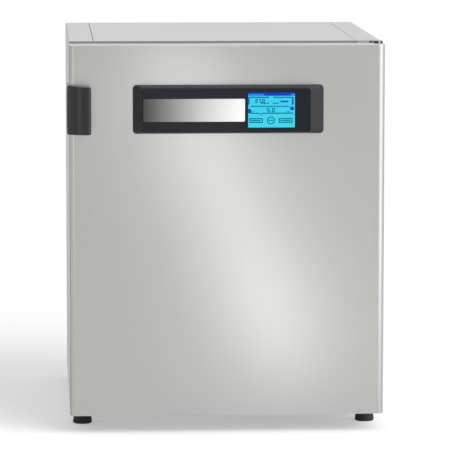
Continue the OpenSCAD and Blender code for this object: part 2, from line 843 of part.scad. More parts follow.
// One perforated shelf: folded edges, a lip at its rear and holes in a square grid
module shelf(level) {
  z0 = slot_z(shelf_slots[level]) + seat_gap;
  z1 = z0 + shelf_edge_h;
  columns = floor((2 * (shelf_x - shelf_border)) / shelf_hole_pitch);
  rows = floor((shelf_d - 2 * shelf_border) / shelf_hole_pitch);
  lip_x = shelf_x - ledge_w - 10;
  color(bright_steel) {
    translate([0, 0, z1 - shelf_t]) linear_extrude(shelf_t) difference() {
      translate([-shelf_x, shelf_front_y]) square([2 * shelf_x, shelf_d]);
      for (i = [-columns / 2:columns / 2], j = [-rows / 2:rows / 2])
        translate([i * shelf_hole_pitch, shelf_front_y + shelf_d / 2 + j * shelf_hole_pitch])
          circle(shelf_hole_r, $fn = fn_small);
    }
    for (s = [0, 1]) mirror([s, 0, 0])
      block([shelf_x - shelf_t, shelf_front_y, z0], [shelf_x, shelf_back_y, z1]);
    block([-shelf_x, shelf_front_y, z0], [shelf_x, shelf_front_y + shelf_t, z1]);
    block([-lip_x, shelf_back_y - shelf_t, z1 - shelf_t], [lip_x, shelf_back_y, z1 + shelf_lip_h]);
  }
}

module lower_shelf() {
  shelf(0);
}

module middle_shelf() {
  shelf(1);
}

module upper_shelf() {
  shelf(2);
}

// The duct down the chamber's back: air from the blower leaves it under the shelves
module rear_air_duct() {
  x = duct_w / 2;
  z0 = floor_z + duct_floor_gap;
  slot = [26, 5];
  color(bright_steel) difference() {
    block([-x, duct_front_y, z0], [x, back_y, duct_z]);
    block([-x + sheet_t, duct_front_y + sheet_t, z0 - over], [x - sheet_t, back_y + over, duct_z + over]);
    standing(duct_front_y - over, duct_front_y + sheet_t + over)
      for (i = [-4.5:4.5], row = [1, 2])
        translate([i * 42, z0 + row * 14]) rounded_rect(-slot / 2, slot / 2, 2.4);
  }
}

// The duct under the ceiling: the blower draws the chamber's air through the filter into it
module top_air_duct() {
  x = duct_w / 2;
  t = sheet_t;
  color(bright_steel) difference() {
    block([-x, top_duct_front_y, duct_z], [x, back_y, ceiling_z]);
    block([-x + t, top_duct_front_y + t, duct_z + t], [x - t, back_y + over, ceiling_z + over]);
    block([-x + t, duct_front_y + t, duct_z - over], [x - t, back_y + over, ceiling_z]);
    translate([0, filter_y, duct_z - over])
      cylinder(r = neck_r + hole_gap, h = t + 2 * over, $fn = fn_large);
  }
}

// The pleated filter that hangs under the top duct: air goes in through the windows round its side
module intake_filter() {
  wall = 2;
  pleat_in = neck_r + 2;
  pleat_out = filter_r - wall - 1;
  pleat_t = 2;
  color("white") translate([0, filter_y, duct_z - filter_h]) {
    difference() {
      union() {
        cylinder(r = filter_r, h = filter_h, $fn = fn_large);
        cylinder(r = neck_r, h = filter_h + 2 * wall, $fn = fn_large);
      }
      translate([0, 0, wall])
        cylinder(r = filter_r - wall, h = filter_h - 2 * wall, $fn = fn_large);
      translate([0, 0, wall])
        cylinder(r = neck_r - wall, h = filter_h + 2 * wall, $fn = fn_large);
      for (a = [0:45:315]) rotate(a) translate([filter_r, 0, filter_h / 2])
        cube([6 * wall, filter_r * 0.6, filter_h - 4 * wall], center = true);
    }
    translate([0, 0, wall]) linear_extrude(filter_h - 2 * wall) difference() {
      polygon(pleat_points(pleat_in + pleat_t / 2, pleat_out));
      polygon(pleat_points(pleat_in, pleat_out - pleat_t));
    }
  }
}

// The zigzag of the filter's paper between an inner and an outer radius
function pleat_points(r0, r1) = [
  for (i = [0:2 * pleat_count - 1])
    let (r = i % 2 == 0 ? r0 : r1, a = i * 180 / pleat_count) [r * cos(a), r * sin(a)]
];

// The sensor block: gas sensor and temperature probe on one flange under the ceiling
module sensor_block() {
  flange_t = 3;
  hang = top_duct_h - 10;
  above = 26;
  l = deck_z + above - ceiling_z + hang;
  color("#5c6066") translate([sensor_x, sensor_y, 0]) {
    translate([0, 0, ceiling_z - hang]) cylinder(r = sensor_r, h = l, $fn = fn_medium);
    translate([0, probe_pitch, ceiling_z - hang]) cylinder(r = probe_r, h = l, $fn = fn_small);
    translate([0, probe_pitch / 2 - 2, ceiling_z - flange_t]) linear_extrude(flange_t)
      rounded_rect([-sensor_r - 6, -probe_pitch], [sensor_r + 6, probe_pitch], 8);
  }
}

// The water tray on the chamber's floor
module water_tray() {
  low = [-tray_w / 2, tray_y - tray_d / 2];
  high = [tray_w / 2, tray_y + tray_d / 2];
  corner_r = 20;
  color(bright_steel) translate([0, 0, floor_z]) difference() {
    linear_extrude(tray_h) rounded_rect(low, high, corner_r);
    translate([0, 0, tray_wall]) linear_extrude(tray_h)
      rounded_rect(low + [tray_wall, tray_wall], high - [tray_wall, tray_wall], corner_r - tray_wall);
  }
}

// The tray's lid, open at the front for filling and slotted where the air crosses the water
module water_tray_cover() {
  z0 = floor_z + tray_h;
  y0 = tray_y - tray_d / 2 + fill_gap;
  y1 = tray_y + tray_d / 2;
  slot = [34, 8];
  color(bright_steel) {
    translate([0, 0, z0]) linear_extrude(sheet_t) difference() {
      translate([-tray_w / 2, y0]) square([tray_w, y1 - y0]);
      for (i = [-3.5:3.5], y = [y0 + 40, y1 - 40])
        translate([i * 48, y]) rounded_rect(-slot / 2, slot / 2, 3.9);
    }
    block([-tray_w / 2 + 24, y0, z0 - 8], [tray_w / 2 - 24, y0 + sheet_t, z0 + sheet_t]);
  }
}

// The tube through the rear wall that holds the access port's plug
module access_port_sleeve() {
  flange_r = port_outer_r + 5;
  flange_t = 2.5;
  color("#9aa0a6") difference() {
    union() {
      rod_y(port_x, port_z, back_y - flange_t, rear_y + flange_t, port_outer_r);
      rod_y(port_x, port_z, back_y - flange_t, back_y, flange_r);
      rod_y(port_x, port_z, rear_y, rear_y + flange_t, flange_r);
    }
    rod_y(port_x, port_z, back_y - 2 * flange_t, rear_y + 2 * flange_t, port_r);
  }
}

// The silicone plug that closes the access port from behind
module port_plug() {
  head_y = rear_y + 2.5 + seat_gap;
  color(rubber_grey) difference() {
    union() {
      rod_y(port_x, port_z, rear_y + 2.5 - plug_l, head_y + 1, port_r - running_gap);
      rod_y(port_x, port_z, head_y, rear_y + fitting_proud, port_outer_r + 3);
    }
    rod_y(port_x, port_z, rear_y + 2.5 - plug_l - over, rear_y - 6, port_r - 5);
    rod_y(port_x, port_z, rear_y + fitting_proud - 3, rear_y + fitting_proud + over, port_r - 4);
  }
}

// The small sintered vent that evens out the chamber's pressure
module pressure_vent() {
  color("#b08d57") difference() {
    union() {
      rod_y(port_x, vent_z, back_y - 8, rear_y + 6, vent_r, fn_small);
      rod_y(port_x, vent_z, back_y - 2, back_y, vent_r + 4, fn_small);
      rod_y(port_x, vent_z, rear_y, rear_y + 2, vent_r + 4, fn_small);
    }
    rod_y(port_x, vent_z, back_y, rear_y + 7, vent_r - 2, fn_small);
    for (a = [0:60:300]) translate([cos(a) * vent_r / 2, 0, sin(a) * vent_r / 2])
      rod_y(port_x, vent_z, back_y - 9, back_y + over, 1, fn_small);
  }
}

// The blower's motor on the outside of the rear insulation
module blower_motor() {
  flange_t = 3;
  color("#3f4348") difference() {
    union() {
      rod_y(0, blower_z, bay_y, bay_y + flange_t, motor_r + 8, fn_large);
      rod_y(0, blower_z, bay_y, bay_y + flange_t + motor_l, motor_r, fn_large);
      rod_y(0, blower_z, bay_y, bay_y + flange_t + motor_l + 6, 3 * shaft_r, fn_medium);
      for (a = [0:15:345])
        translate([0, bay_y + 12, blower_z]) rotate([0, a, 0])
          translate([motor_r - 1, 0, -1]) cube([4, motor_l - 18, 2]);
    }
    rod_y(0, blower_z, bay_y - over, bay_y + flange_t + motor_l + 8, shaft_r + running_gap, fn_medium);
  }
}

// The tube that carries the shaft through the rear wall, with a close lip inside the chamber
module shaft_seal() {
  color("#d8d8d0") difference() {
    union() {
      rod_y(0, blower_z, back_y - shaft_seal_lip, bay_y, seal_tube_r);
      rod_y(0, blower_z, back_y - shaft_seal_lip, back_y, seal_tube_r + 6);
    }
    rod_y(0, blower_z, back_y - 2 * shaft_seal_lip, bay_y + over, shaft_r + running_gap);
    rod_y(0, blower_z, back_y + shaft_seal_lip, bay_y + over, seal_tube_r - 3);
  }
}

// The blower's wheel: a hub, a back plate, curved blades and a front ring
module blower_wheel() {
  plate_t = 1.5;
  curve_r = wheel_r / 2 - 1;
  color("#e8e8e4") translate([0, wheel_back_y, blower_z]) rotate([90, 0, 0]) difference() {
    union() {
      cylinder(r = wheel_r, h = plate_t, $fn = fn_large);
      cylinder(r = hub_r, h = wheel_d, $fn = fn_medium);
      translate([0, 0, wheel_d - plate_t]) difference() {
        cylinder(r = wheel_r, h = plate_t, $fn = fn_large);
        translate([0, 0, -over])
          cylinder(r = wheel_r - 22, h = plate_t + 2 * over, $fn = fn_large);
      }
      linear_extrude(wheel_d) intersection() {
        difference() {
          circle(wheel_r, $fn = fn_large);
          circle(hub_r - 1, $fn = fn_medium);
        }
        for (i = [0:blade_count - 1])
          rotate(i * 360 / blade_count) translate([0, curve_r + 3]) intersection() {
            difference() {
              circle(curve_r + blade_t / 2, $fn = fn_large);
              circle(curve_r - blade_t / 2, $fn = fn_large);
            }
            translate([0, -curve_r - 3]) square([2 * wheel_r, 2 * wheel_r]);
          }
      }
    }
    translate([0, 0, -over]) cylinder(r = shaft_r, h = wheel_d + 2 * over, $fn = fn_medium);
  }
}

// The steel shaft from the wheel's nose to the motor's end
module blower_shaft() {
  color("#7d8187") {
    rod_y(0, blower_z, wheel_front_y - 4, bay_y + motor_l + 6, shaft_r);
    rod_y(0, blower_z, wheel_front_y - 6, wheel_front_y, shaft_r + 4, 6);
  }
}

// The soft seal that the glass door closes on
module glass_door_seal() {
  grow = seal_inset + seal_w;
  color(rubber_grey) standing(glass_back_y, rebate_y) difference() {
    mouth_outline(grow);
    mouth_outline(seal_inset);
  }
}

// The pane of the inner door
module glass_pane() {
  color([0.75, 0.88, 0.86, 0.45]) standing(glass_front_y, glass_back_y)
    rounded_rect([glass_left_x, glass_low_z], [glass_right_x, glass_high_z], 10);
}

// Heights of the two glass hinges
glass_hinge_zs = [glass_low_z + glass_hinge_inset, glass_high_z - glass_hinge_inset];

// Two clamps on the pane's edge, each ending in the knuckle that turns on its pin
module glass_hinge_clamps() {
  color("#8f959b") for (z = glass_hinge_zs) difference() {
    union() {
      block(
        [glass_right_x - clamp_w, glass_front_y - clamp_t, z - clamp_h / 2],
        [glass_right_x + clamp_t, glass_back_y + clamp_t, z + clamp_h / 2]
      );
      block(
        [glass_right_x, glass_front_y - clamp_t, z - knuckle_h / 2],
        [glass_axis_x, glass_front_y, z + knuckle_h / 2]
      );
      translate([glass_axis_x, glass_axis_y, z - knuckle_h / 2])
        cylinder(r = knuckle_r, h = knuckle_h, $fn = fn_small);
    }
    block(
      [glass_right_x - clamp_w - over, glass_front_y, z - clamp_h / 2 - over],
      [glass_right_x, glass_back_y, z + clamp_h / 2 + over]
    );
    translate([glass_axis_x, glass_axis_y, z - knuckle_h / 2 - over])
      cylinder(r = glass_pin_r + running_gap, h = knuckle_h + 2 * over, $fn = fn_small);
  }
}

// Two forked brackets on the rebate's side, each holding the pin of one glass hinge
module glass_hinge_brackets() {
  ear_t = 4;
  ear_gap = 0.6;
  color("#8f959b") for (z = glass_hinge_zs) {
    for (s = [-1, 1]) {
      zc = z + s * (knuckle_h / 2 + ear_gap + ear_t / 2);
      translate([glass_axis_x, glass_axis_y, zc])
        cylinder(r = knuckle_r, h = ear_t, center = true, $fn = fn_small);
      block(
        [glass_axis_x, glass_axis_y - knuckle_r, zc - ear_t / 2],
        [rebate_x, glass_axis_y + knuckle_r, zc + ear_t / 2]
      );
    }
    block(
      [rebate_x - 2, glass_axis_y - knuckle_r, z - knuckle_h / 2 - ear_gap - ear_t],
      [rebate_x, glass_axis_y + knuckle_r, z + knuckle_h / 2 + ear_gap + ear_t]
    );
    translate([glass_axis_x, glass_axis_y, z])
      cylinder(r = glass_pin_r, h = knuckle_h + 2 * (ear_gap + ear_t), center = true, $fn = fn_small);
  }
}

// The magnet on the rebate that holds the glass door shut
module magnet_catch() {
  color(dark_plastic) block(
    [-rebate_x + glass_gap + 6, glass_back_y + 1.5 + seat_gap, chamber_mid_z - 20],
    [-wall_x - seal_inset - seal_w - 4, rebate_y, chamber_mid_z + 20]
  );
}

// The glass door's pull with its keeper plate on the back of the pane
module glass_door_pull() {
  x0 = glass_left_x + 3;
  x1 = x0 + 18;
  color(dark_plastic) {
    difference() {
      standing(glass_front_y - pull_proud, glass_front_y)
        rounded_rect([x0, chamber_mid_z - pull_h / 2], [x1, chamber_mid_z + pull_h / 2], 4);
      block(
        [x0 - over, glass_front_y - pull_proud + 5, chamber_mid_z - pull_h / 2 + 12],
        [x0 + 11, glass_front_y - over * 2, chamber_mid_z + pull_h / 2 - 12]
      );
    }
    standing(glass_back_y, glass_back_y + 1.5)
      rounded_rect([x0, chamber_mid_z - 18], [x0 + 20, chamber_mid_z + 18], 2);
  }
}

// The room that the handle's pocket takes out of the door's left edge
module pocket_notch() {
  room = pocket_wall + seat_gap;
  block(
    [-side_x - over, door_front_y - over, handle_z - pocket_h / 2 - room],
    [-side_x + pocket_d + room, door_front_y + pocket_w + room, handle_z + pocket_h / 2 + room]
  );
}

// The door's brushed outer skin: a pan open at the back, notched for the handle's pocket
module door_skin() {
  color(bright_steel) difference() {
    translate([0, 0, door_bottom_z]) linear_extrude(door_top_z - door_bottom_z) door_plan(0);
    translate([0, 0, door_bottom_z + sheet_t])
      linear_extrude(door_top_z - door_bottom_z - 2 * sheet_t) door_plan(sheet_t);
    block(
      [-side_x + return_w, door_back_y - 2 * sheet_t, door_bottom_z + return_w],
      [side_x - return_w, door_back_y + over, door_top_z - return_w]
    );
    pocket_notch();
    block(
      [bar_shift - 60, door_front_y - over, bar_z - 30],
      [bar_shift + 20, door_front_y + sheet_t + over, bar_z + 30]
    );
    translate([hinge_x, hinge_y, 0]) cylinder(r = bush_r, h = cabinet_h, $fn = fn_medium);
  }
}

// The door's inner panel, dished in its middle to clear the glass door's pull
module door_inner_panel() {
  low = [-wall_x - dish_side_w, floor_z - dish_side_w];
  high = [wall_x + dish_side_w, ceiling_z + dish_side_w];
  color(bright_steel) difference() {
    union() {
      block(
        [-side_x + return_w, door_back_y - sheet_t, door_bottom_z + return_w],
        [side_x - return_w, door_back_y, door_top_z - return_w]
      );
      standing(dish_y - sheet_t, door_back_y)
        rounded_rect(low - [sheet_t, sheet_t], high + [sheet_t, sheet_t], dish_r + sheet_t);
    }
    standing(dish_y, door_back_y + over) rounded_rect(low, high, dish_r);
  }
}

// The block of insulation between the door's skin and its inner panel
module door_insulation() {
  z0 = door_bottom_z + sheet_t;
  z1 = door_top_z - sheet_t;
  color(pale_foam) difference() {
    translate([0, 0, z0]) linear_extrude(z1 - z0) intersection() {
      door_plan(sheet_t);
      translate([-side_x, door_front_y]) square([2 * side_x, dish_y - sheet_t - door_front_y]);
    }
    pocket_notch();
    translate([hinge_x, hinge_y, 0])
      cylinder(r = bush_r + hole_gap, h = cabinet_h, $fn = fn_medium);
  }
}

// The magnetic gasket: a flat foot on the door and a narrower bellows that meets the cabinet
module door_gasket() {
  low = [-side_x + gasket_inset, door_bottom_z + gasket_inset];
  high = [side_x - gasket_inset, door_top_z - gasket_inset];
  foot_t = 3;
  step = 2.5;
  color(rubber_grey) union() {
    standing(door_back_y, door_back_y + foot_t) ring_outline(low, high, 14, gasket_w);
    standing(door_back_y, front_y)
      ring_outline(low + [step, step], high - [step, step], 12, gasket_w - 2 * step);
  }
}

// Two flanged bushes in the door's top and bottom that turn on the hinge pins
module door_hinge_bushes() {
  l = door_pin_reach + 4;
  bore_r = door_pin_r + running_gap;
  color("#3c3e40") for (z = [door_bottom_z, door_top_z - l])
    translate([hinge_x, hinge_y, z]) difference() {
      cylinder(r = bush_r, h = l, $fn = fn_medium);
      translate([0, 0, -over]) cylinder(r = bore_r, h = l + 2 * over, $fn = fn_medium);
    }
}

// The handle seen from above: a curved front that runs into a flat, wrapped round the door's edge
module handle_plan() {
  front = bar_front_y;
  back = door_back_y - 2;
  r = handle_r;
  crest_x = handle_crest_x;
  curve_y = front + handle_front_r;
  difference() {
    union() {
      intersection() {
        translate([crest_x, curve_y]) circle(handle_front_r, $fn = fn_large);
        translate([handle_left_x, front]) square([handle_crest + over, handle_front_r]);
      }
      translate([crest_x, front]) square([handle_right_x - r - crest_x, 2 * r]);
      translate([crest_x, front + r]) square([handle_right_x - crest_x, back - front - r]);
      translate([handle_left_x, curve_y - over]) square([handle_crest + over, back - curve_y + over]);
      translate([handle_right_x - r, front + r]) circle(r, $fn = fn_small);
    }
    door_plan(0);
  }
}

// The handle seen from the front: its top falls towards the door's middle
module handle_face() {
  r = handle_corner_r;
  x0 = handle_left_x + r;
  x1 = handle_right_x - r;
  z0 = handle_z - handle_h / 2 + r;
  z1 = handle_z + handle_h / 2 - r;
  hull() {
    translate([x0, z0]) circle(r, $fn = fn_small);
    translate([x1, z0]) circle(r, $fn = fn_small);
    translate([x0, z1]) circle(r, $fn = fn_small);
    translate([x1, z1 - handle_fall]) circle(r, $fn = fn_small);
  }
}

// The moulded door handle with its finger pocket, which is open to the left
module door_handle() {
  z0 = handle_z - handle_h / 2;
  pocket_low = handle_z - pocket_h / 2;
  pocket_high = handle_z + pocket_h / 2;
  pocket_y = door_front_y + pocket_w;
  color(dark_plastic) difference() {
    union() {
      intersection() {
        translate([0, 0, z0]) linear_extrude(handle_h) handle_plan();
        standing(bar_front_y - over, door_back_y) handle_face();
      }
      block(
        [-side_x - over, door_front_y - over, pocket_low - pocket_wall],
        [-side_x + pocket_d + pocket_wall, pocket_y + pocket_wall, pocket_high + pocket_wall]
      );
    }
    translate([handle_left_x - over, 0, 0]) rotate([90, 0, 90])
      linear_extrude(pocket_d + handle_side_proud + over)
        rounded_rect([door_front_y - 4, pocket_low], [pocket_y, pocket_high], 10);
  }
}

// The bar's outer body: a rounded foot on the door drawn in to a smaller flat face
module bar_body() {
  low = [bar_left_x, bar_z - bar_h / 2];
  high = [bar_right_x, bar_z + bar_h / 2];
  t = bar_edge_t;
  hull() {
    standing(door_front_y - 4, door_front_y) rounded_rect(low, high, bar_r, fn_small);
    standing(bar_front_y + t, bar_front_y + 2 * t)
      rounded_rect(bar_face_low, bar_face_high, bar_r, fn_small);
    standing(bar_front_y, bar_front_y + t)
      rounded_rect(bar_face_low + [t, t], bar_face_high - [t, t], bar_r - t, fn_small);
  }
}

// The moulded housing of the control bar, hollow behind and pocketed in front for the lens
module control_housing() {
  w = bar_wall;
  color(dark_plastic) difference() {
    bar_body();
    standing(lens_y - lens_t, lens_y + lens_t)
      rounded_rect(lens_low, lens_high, bar_r - lens_rim / 2);
    block(
      [display_low.x - display_rim - 1, bar_front_y - over, display_low.y - display_rim - 1],
      [display_high.x + display_rim + 1, door_front_y - over, display_high.y + display_rim + 1]
    );
    block(
      [bar_face_low.x + w, lens_y + lens_t + w, bar_face_low.y + w],
      [bar_face_high.x - w, door_front_y + over, bar_face_high.y - w]
    );
  }
}

// The dark lens over the whole front of the bar, with the display's window
module control_lens() {
  gap = [seat_gap, seat_gap];
  color("#1b2430") standing(lens_y, lens_y + lens_t) difference() {
    rounded_rect(lens_low + gap, lens_high - gap, bar_r - lens_rim / 2 - seat_gap);
    rounded_rect(display_low, display_high, 1);
  }
}

// The touch display behind the lens
module display_module() {
  rim = [display_rim, display_rim];
  gap = [0.2, 0.2];
  back = lens_y + lens_t;
  color("#41c8f0") {
    standing(lens_y + lens_t / 2, back) rounded_rect(display_low + gap, display_high - gap, 1);
    standing(back, back + display_t) rounded_rect(display_low - rim, display_high + rim, 2);
  }
}

// The controller's circuit board behind the display, with its plugs and a buzzer
module control_board() {
  y0 = lens_y + lens_t + display_t;
  x0 = display_low.x - control_board_reach;
  x1 = display_high.x;
  board_y = y0 + 4;
  y1 = board_y + board_t / 2;
  color("#1f6b3a") {
    block([x0, board_y, bar_z - 38], [x1, board_y + board_t, bar_z + 38]);
    for (x = [display_low.x + 8, x1 - 8], z = [bar_z - 30, bar_z + 30])
      rod_y(x, z, y0, y1, 3, fn_small);
    for (z = [bar_z - 24, bar_z + 6]) block([x0 + 6, y0 - 4, z], [x0 + 18, y1, z + 18]);
    rod_y(x0 + 40, bar_z, y0 - 3, y1, 7, fn_small);
  }
}

// The bare metal trim plate on the lens
module trim_plate() {
  low = [lens_low.x + trim_inset, bar_z - trim_h / 2];
  color("#dcdcdc") standing(lens_y - trim_t, lens_y) rounded_rect(low, low + [trim_w, trim_h], 3);
}

// The hexagonal nuts that lock the feet
module foot_lock_nuts() {
  nut_r = 1.9 * stud_r;
  color("#a9adb2") for (x = [-foot_x, foot_x], y = foot_ys)
    translate([x, y, foot_pad_h + 4]) difference() {
      cylinder(r = nut_r, h = base_z - boss_h - foot_pad_h - 4, $fn = 6);
      translate([0, 0, -over]) cylinder(r = stud_r + running_gap, h = 20, $fn = fn_small);
    }
}

// One levelling foot: a tapered rubber-shod pad with a collar and a stud
module foot(x, y) {
  lip = 2;
  collar_r = 1.5 * stud_r;
  color(dark_plastic) translate([x, y, 0]) rotate_extrude($fn = fn_medium) polygon([
    [0, 0], [foot_r - lip, 0], [foot_r, lip], [foot_r, 3 * lip], [foot_r - 2, foot_pad_h - 2],
    [foot_r - 4, foot_pad_h], [collar_r, foot_pad_h], [collar_r, foot_pad_h + 4 - seat_gap],
    [stud_r, foot_pad_h + 4 - seat_gap], [stud_r, base_top_z - 0.5], [0, base_top_z - 0.5]
  ]);
}

module foot_front_left() {
  foot(-foot_x, foot_ys[0]);
}

module foot_front_right() {
  foot(foot_x, foot_ys[0]);
}

module foot_rear_left() {
  foot(-foot_x, foot_ys[1]);
}

module foot_rear_right() {
  foot(foot_x, foot_ys[1]);
}

// The moulded power entry: an inlet with three blades and a well for the rocker switch
module power_entry() {
  flange = 5;
  half = power_size / 2;
  well_x = rocker_w / 2 + 0.5;
  well_z = rocker_pivot_z - power_z;
  inlet_z = -18;
  y1 = rear_y + 2;
  blade_y = y1 - 18 - over;
  color(dark_plastic) translate([-power_x, 0, power_z]) {
    difference() {
      union() {
        block([-half.x, y1 - power_depth, -half.y], [half.x, y1, half.y]);
        standing(rear_y, y1) rounded_rect(-half - [flange, flange], half + [flange, flange], 4);
      }
      standing(y1 - 18, y1 + over) translate([0, inlet_z]) polygon([
        [-12, -8], [12, -8], [12, 5], [9, 8], [-9, 8], [-12, 5]
      ]);
      block([-well_x, y1 - 22, well_z - 13], [well_x, y1 + over, well_z + 13]);
    }
    for (x = [-7, 0, 7]) {
      z = inlet_z + (x == 0 ? 1 : -3);
      block([x - 1, blade_y, z], [x + 1, y1 - 6, z + 4]);
    }
    for (x = [-well_x, well_x]) rod_x(x - 1, x + 1, rear_y - 6, well_z, 1.5);
  }
}

// The rocker of the power switch, shown pressed at its top
module switch_rocker() {
  w = rocker_w;
  color("#1d1e20") translate([-power_x, rear_y - 6, rocker_pivot_z]) rotate([rocker_tilt, 0, 0])
    difference() {
      translate([-w / 2, 0, 0]) rotate([90, 0, 90]) linear_extrude(w)
        polygon([[-5, -6], [-5, 6], [6, 10.5], [9.5, 10.5], [7, 0], [9.5, -10.5], [6, -10.5]]);
      rod_x(-w, -w / 2 + 1, 0, 0, 1.5 + running_gap);
      rod_x(w / 2 - 1, w, 0, 0, 1.5 + running_gap);
    }
}

// Two data sockets side by side
module signal_sockets() {
  y1 = rear_y + 1.5;
  color("#2f3236") difference() {
    union() {
      block(
        [-power_x - socket_block_w / 2, rear_y - 22, socket_z - socket_block_h / 2],
        [-power_x + socket_block_w / 2, y1, socket_z + socket_block_h / 2]
      );
      block(
        [-power_x - socket_block_w / 2 - 3, rear_y, socket_z - socket_block_h / 2 - 3],
        [-power_x + socket_block_w / 2 + 3, y1, socket_z + socket_block_h / 2 + 3]
      );
    }
    for (s = [-1, 1])
      translate([-power_x + s * 11, 0, socket_z]) block([-6.5, y1 - 14, -5], [6.5, y1 + over, 6]);
  }
}

// The gas inlet's nipple with its hexagon and nut
module gas_inlet() {
  color("#b08d57") difference() {
    union() {
      rod_y(-gas_x, gas_z, rear_inner_y - 8, rear_y + 3, nipple_r + 1.5, fn_small);
      rod_y(-gas_x, gas_z, rear_y, rear_y + 3, nipple_r + 5, 6);
      rod_y(-gas_x, gas_z, rear_inner_y - 4, rear_inner_y, nipple_r + 5, 6);
      rod_y(-gas_x, gas_z, rear_y, rear_y + fitting_proud, nipple_r, fn_small);
    }
    rod_y(-gas_x, gas_z, rear_y - 30, rear_y + fitting_proud + over, nipple_r - 1.5, fn_small);
  }
}

// The gas line inside: inline filter, tubes and the nozzle that ends in the rear duct
module gas_line() {
  filter_y0 = rear_inner_y - 20;
  filter_y1 = rear_inner_y - 10;
  color("#d9ded9") {
    rod_y(-gas_x, gas_z, valve_y + valve_d, filter_y0 + 1, tube_r, fn_small);
    rod_y(-gas_x, gas_z, filter_y0, filter_y1, gas_filter_r, fn_medium);
    rod_y(-gas_x, gas_z, filter_y1 - 1, rear_inner_y - 8, tube_r, fn_small);
    rod_y(-gas_x, gas_z, back_y - 12, valve_y, tube_r, fn_small);
  }
}

// The solenoid valve on the rear insulation: a body, a coil on its stem and a foot
module solenoid_valve() {
  y0 = valve_y;
  y1 = valve_y + valve_d;
  color("#6d7176") translate([-gas_x, 0, gas_z]) {
    block([-12, y0, -12], [12, y1, 14]);
    translate([0, (y0 + y1) / 2, 13]) cylinder(r = 9, h = 30, $fn = fn_small);
    block([-14, y0 - 2, 18], [14, y1 + 2, 38]);
    block([-10, bay_y, 6], [10, y0 + 2, 22]);
  }
}

// The main circuit board on its pillars, with plugs, three capacitors and a transformer
module main_board() {
  x0 = -board_x - board_w;
  y0 = electronics_y;
  z0 = deck_z + sheet_t;
  top_z = z0 + pillar_h + board_t / 2;
  color("#1f6b3a") {
    block([x0, y0, z0 + pillar_h], [x0 + board_w, y0 + board_d, z0 + pillar_h + board_t]);
    for (u = [0.04, 0.96], v = [0.05, 0.95])
      translate([x0 + u * board_w, y0 + v * board_d, z0])
        cylinder(r = pillar_r, h = pillar_h + board_t / 2, $fn = fn_small);
    for (i = [0:4])
      translate([x0 + (0.14 + 0.16 * i) * board_w, y0 + 0.03 * board_d, top_z])
        cube([0.1 * board_w, 0.07 * board_d, 13]);
    for (i = [0:2])
      translate([x0 + (0.17 + 0.11 * i) * board_w, y0 + 0.7 * board_d, top_z])
        cylinder(r = 0.04 * board_w, h = 27, $fn = fn_small);
    translate([x0 + 0.6 * board_w, y0 + 0.47 * board_d, top_z])
      cube([0.26 * board_w, 0.3 * board_d, 33]);
  }
}

// The boxed power supply beside the main board, slotted on top for its heat
module power_supply() {
  x0 = supply_x;
  y0 = electronics_y;
  z0 = deck_z + sheet_t;
  color("#b9bcc0") difference() {
    block([x0, y0, z0], [x0 + supply_w, y0 + supply_d, z0 + supply_h]);
    for (u = [0.1:0.06:0.85])
      block(
        [x0 + u * supply_w, y0 + 0.18 * supply_d, z0 + 0.9 * supply_h],
        [x0 + (u + 0.025) * supply_w, y0 + 0.82 * supply_d, z0 + supply_h + over]
      );
  }
}

left_side_panel();
right_side_panel();
top_panel();
base_plate();
rear_panel();
front_frame();
chamber_liner();
insulation_boards();
wall_heaters();
electronics_tray();
door_hinge_brackets();
shelf_uprights();
shelf_brackets();
rear_air_duct();
top_air_duct();
intake_filter();
sensor_block();
water_tray();
water_tray_cover();
access_port_sleeve();
pressure_vent();
blower_motor();
shaft_seal();
glass_door_seal();
glass_hinge_brackets();
magnet_catch();
foot_lock_nuts();
power_entry();
signal_sockets();
gas_inlet();
gas_line();
solenoid_valve();
main_board();
power_supply();
door_skin();
door_inner_panel();
door_insulation();
door_gasket();
door_hinge_bushes();
door_handle();
control_housing();
control_lens();
display_module();
control_board();
trim_plate();
glass_pane();
glass_hinge_clamps();
glass_door_pull();
lower_shelf();
middle_shelf();
upper_shelf();
blower_wheel();
blower_shaft();
port_plug();
switch_rocker();
foot_front_left();
foot_front_right();
foot_rear_left();
foot_rear_right();
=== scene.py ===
import math

import bmesh
import bpy
from mathutils import Matrix, Vector


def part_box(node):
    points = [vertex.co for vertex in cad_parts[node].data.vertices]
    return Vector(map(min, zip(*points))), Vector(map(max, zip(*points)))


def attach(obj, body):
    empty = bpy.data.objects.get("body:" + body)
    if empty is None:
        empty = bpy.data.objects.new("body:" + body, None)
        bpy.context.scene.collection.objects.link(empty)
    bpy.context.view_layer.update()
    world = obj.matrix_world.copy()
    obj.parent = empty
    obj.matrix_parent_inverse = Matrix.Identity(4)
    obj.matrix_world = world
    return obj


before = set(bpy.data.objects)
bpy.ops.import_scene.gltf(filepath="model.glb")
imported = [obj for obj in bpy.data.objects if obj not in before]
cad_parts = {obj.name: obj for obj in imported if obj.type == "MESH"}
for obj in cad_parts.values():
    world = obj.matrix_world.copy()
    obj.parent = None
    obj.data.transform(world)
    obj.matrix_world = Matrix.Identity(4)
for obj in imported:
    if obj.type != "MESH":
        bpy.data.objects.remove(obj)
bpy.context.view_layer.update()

# Camera
# A long lens stands far in front of the incubator, to its left and above it, and looks a little
# down and to the right, as the photograph's own camera did.
camera_place = (-0.46833, -8.78735, 1.50294)
yaw, pitch, roll = -0.05531, -0.11691, 0.0005
scene = bpy.context.scene
camera_data = bpy.data.cameras.new("camera")
camera_data.sensor_width = 36
camera_data.lens = 272.56
camera_data.clip_start = 0.1
camera_data.clip_end = 200
camera = bpy.data.objects.new("camera", camera_data)
scene.collection.objects.link(camera)
scene.camera = camera
level_right = Vector((math.cos(yaw), math.sin(yaw), 0))
level_ahead = Vector((-math.sin(yaw), math.cos(yaw), 0))
ahead = level_ahead * math.cos(pitch) + Vector((0, 0, math.sin(pitch)))
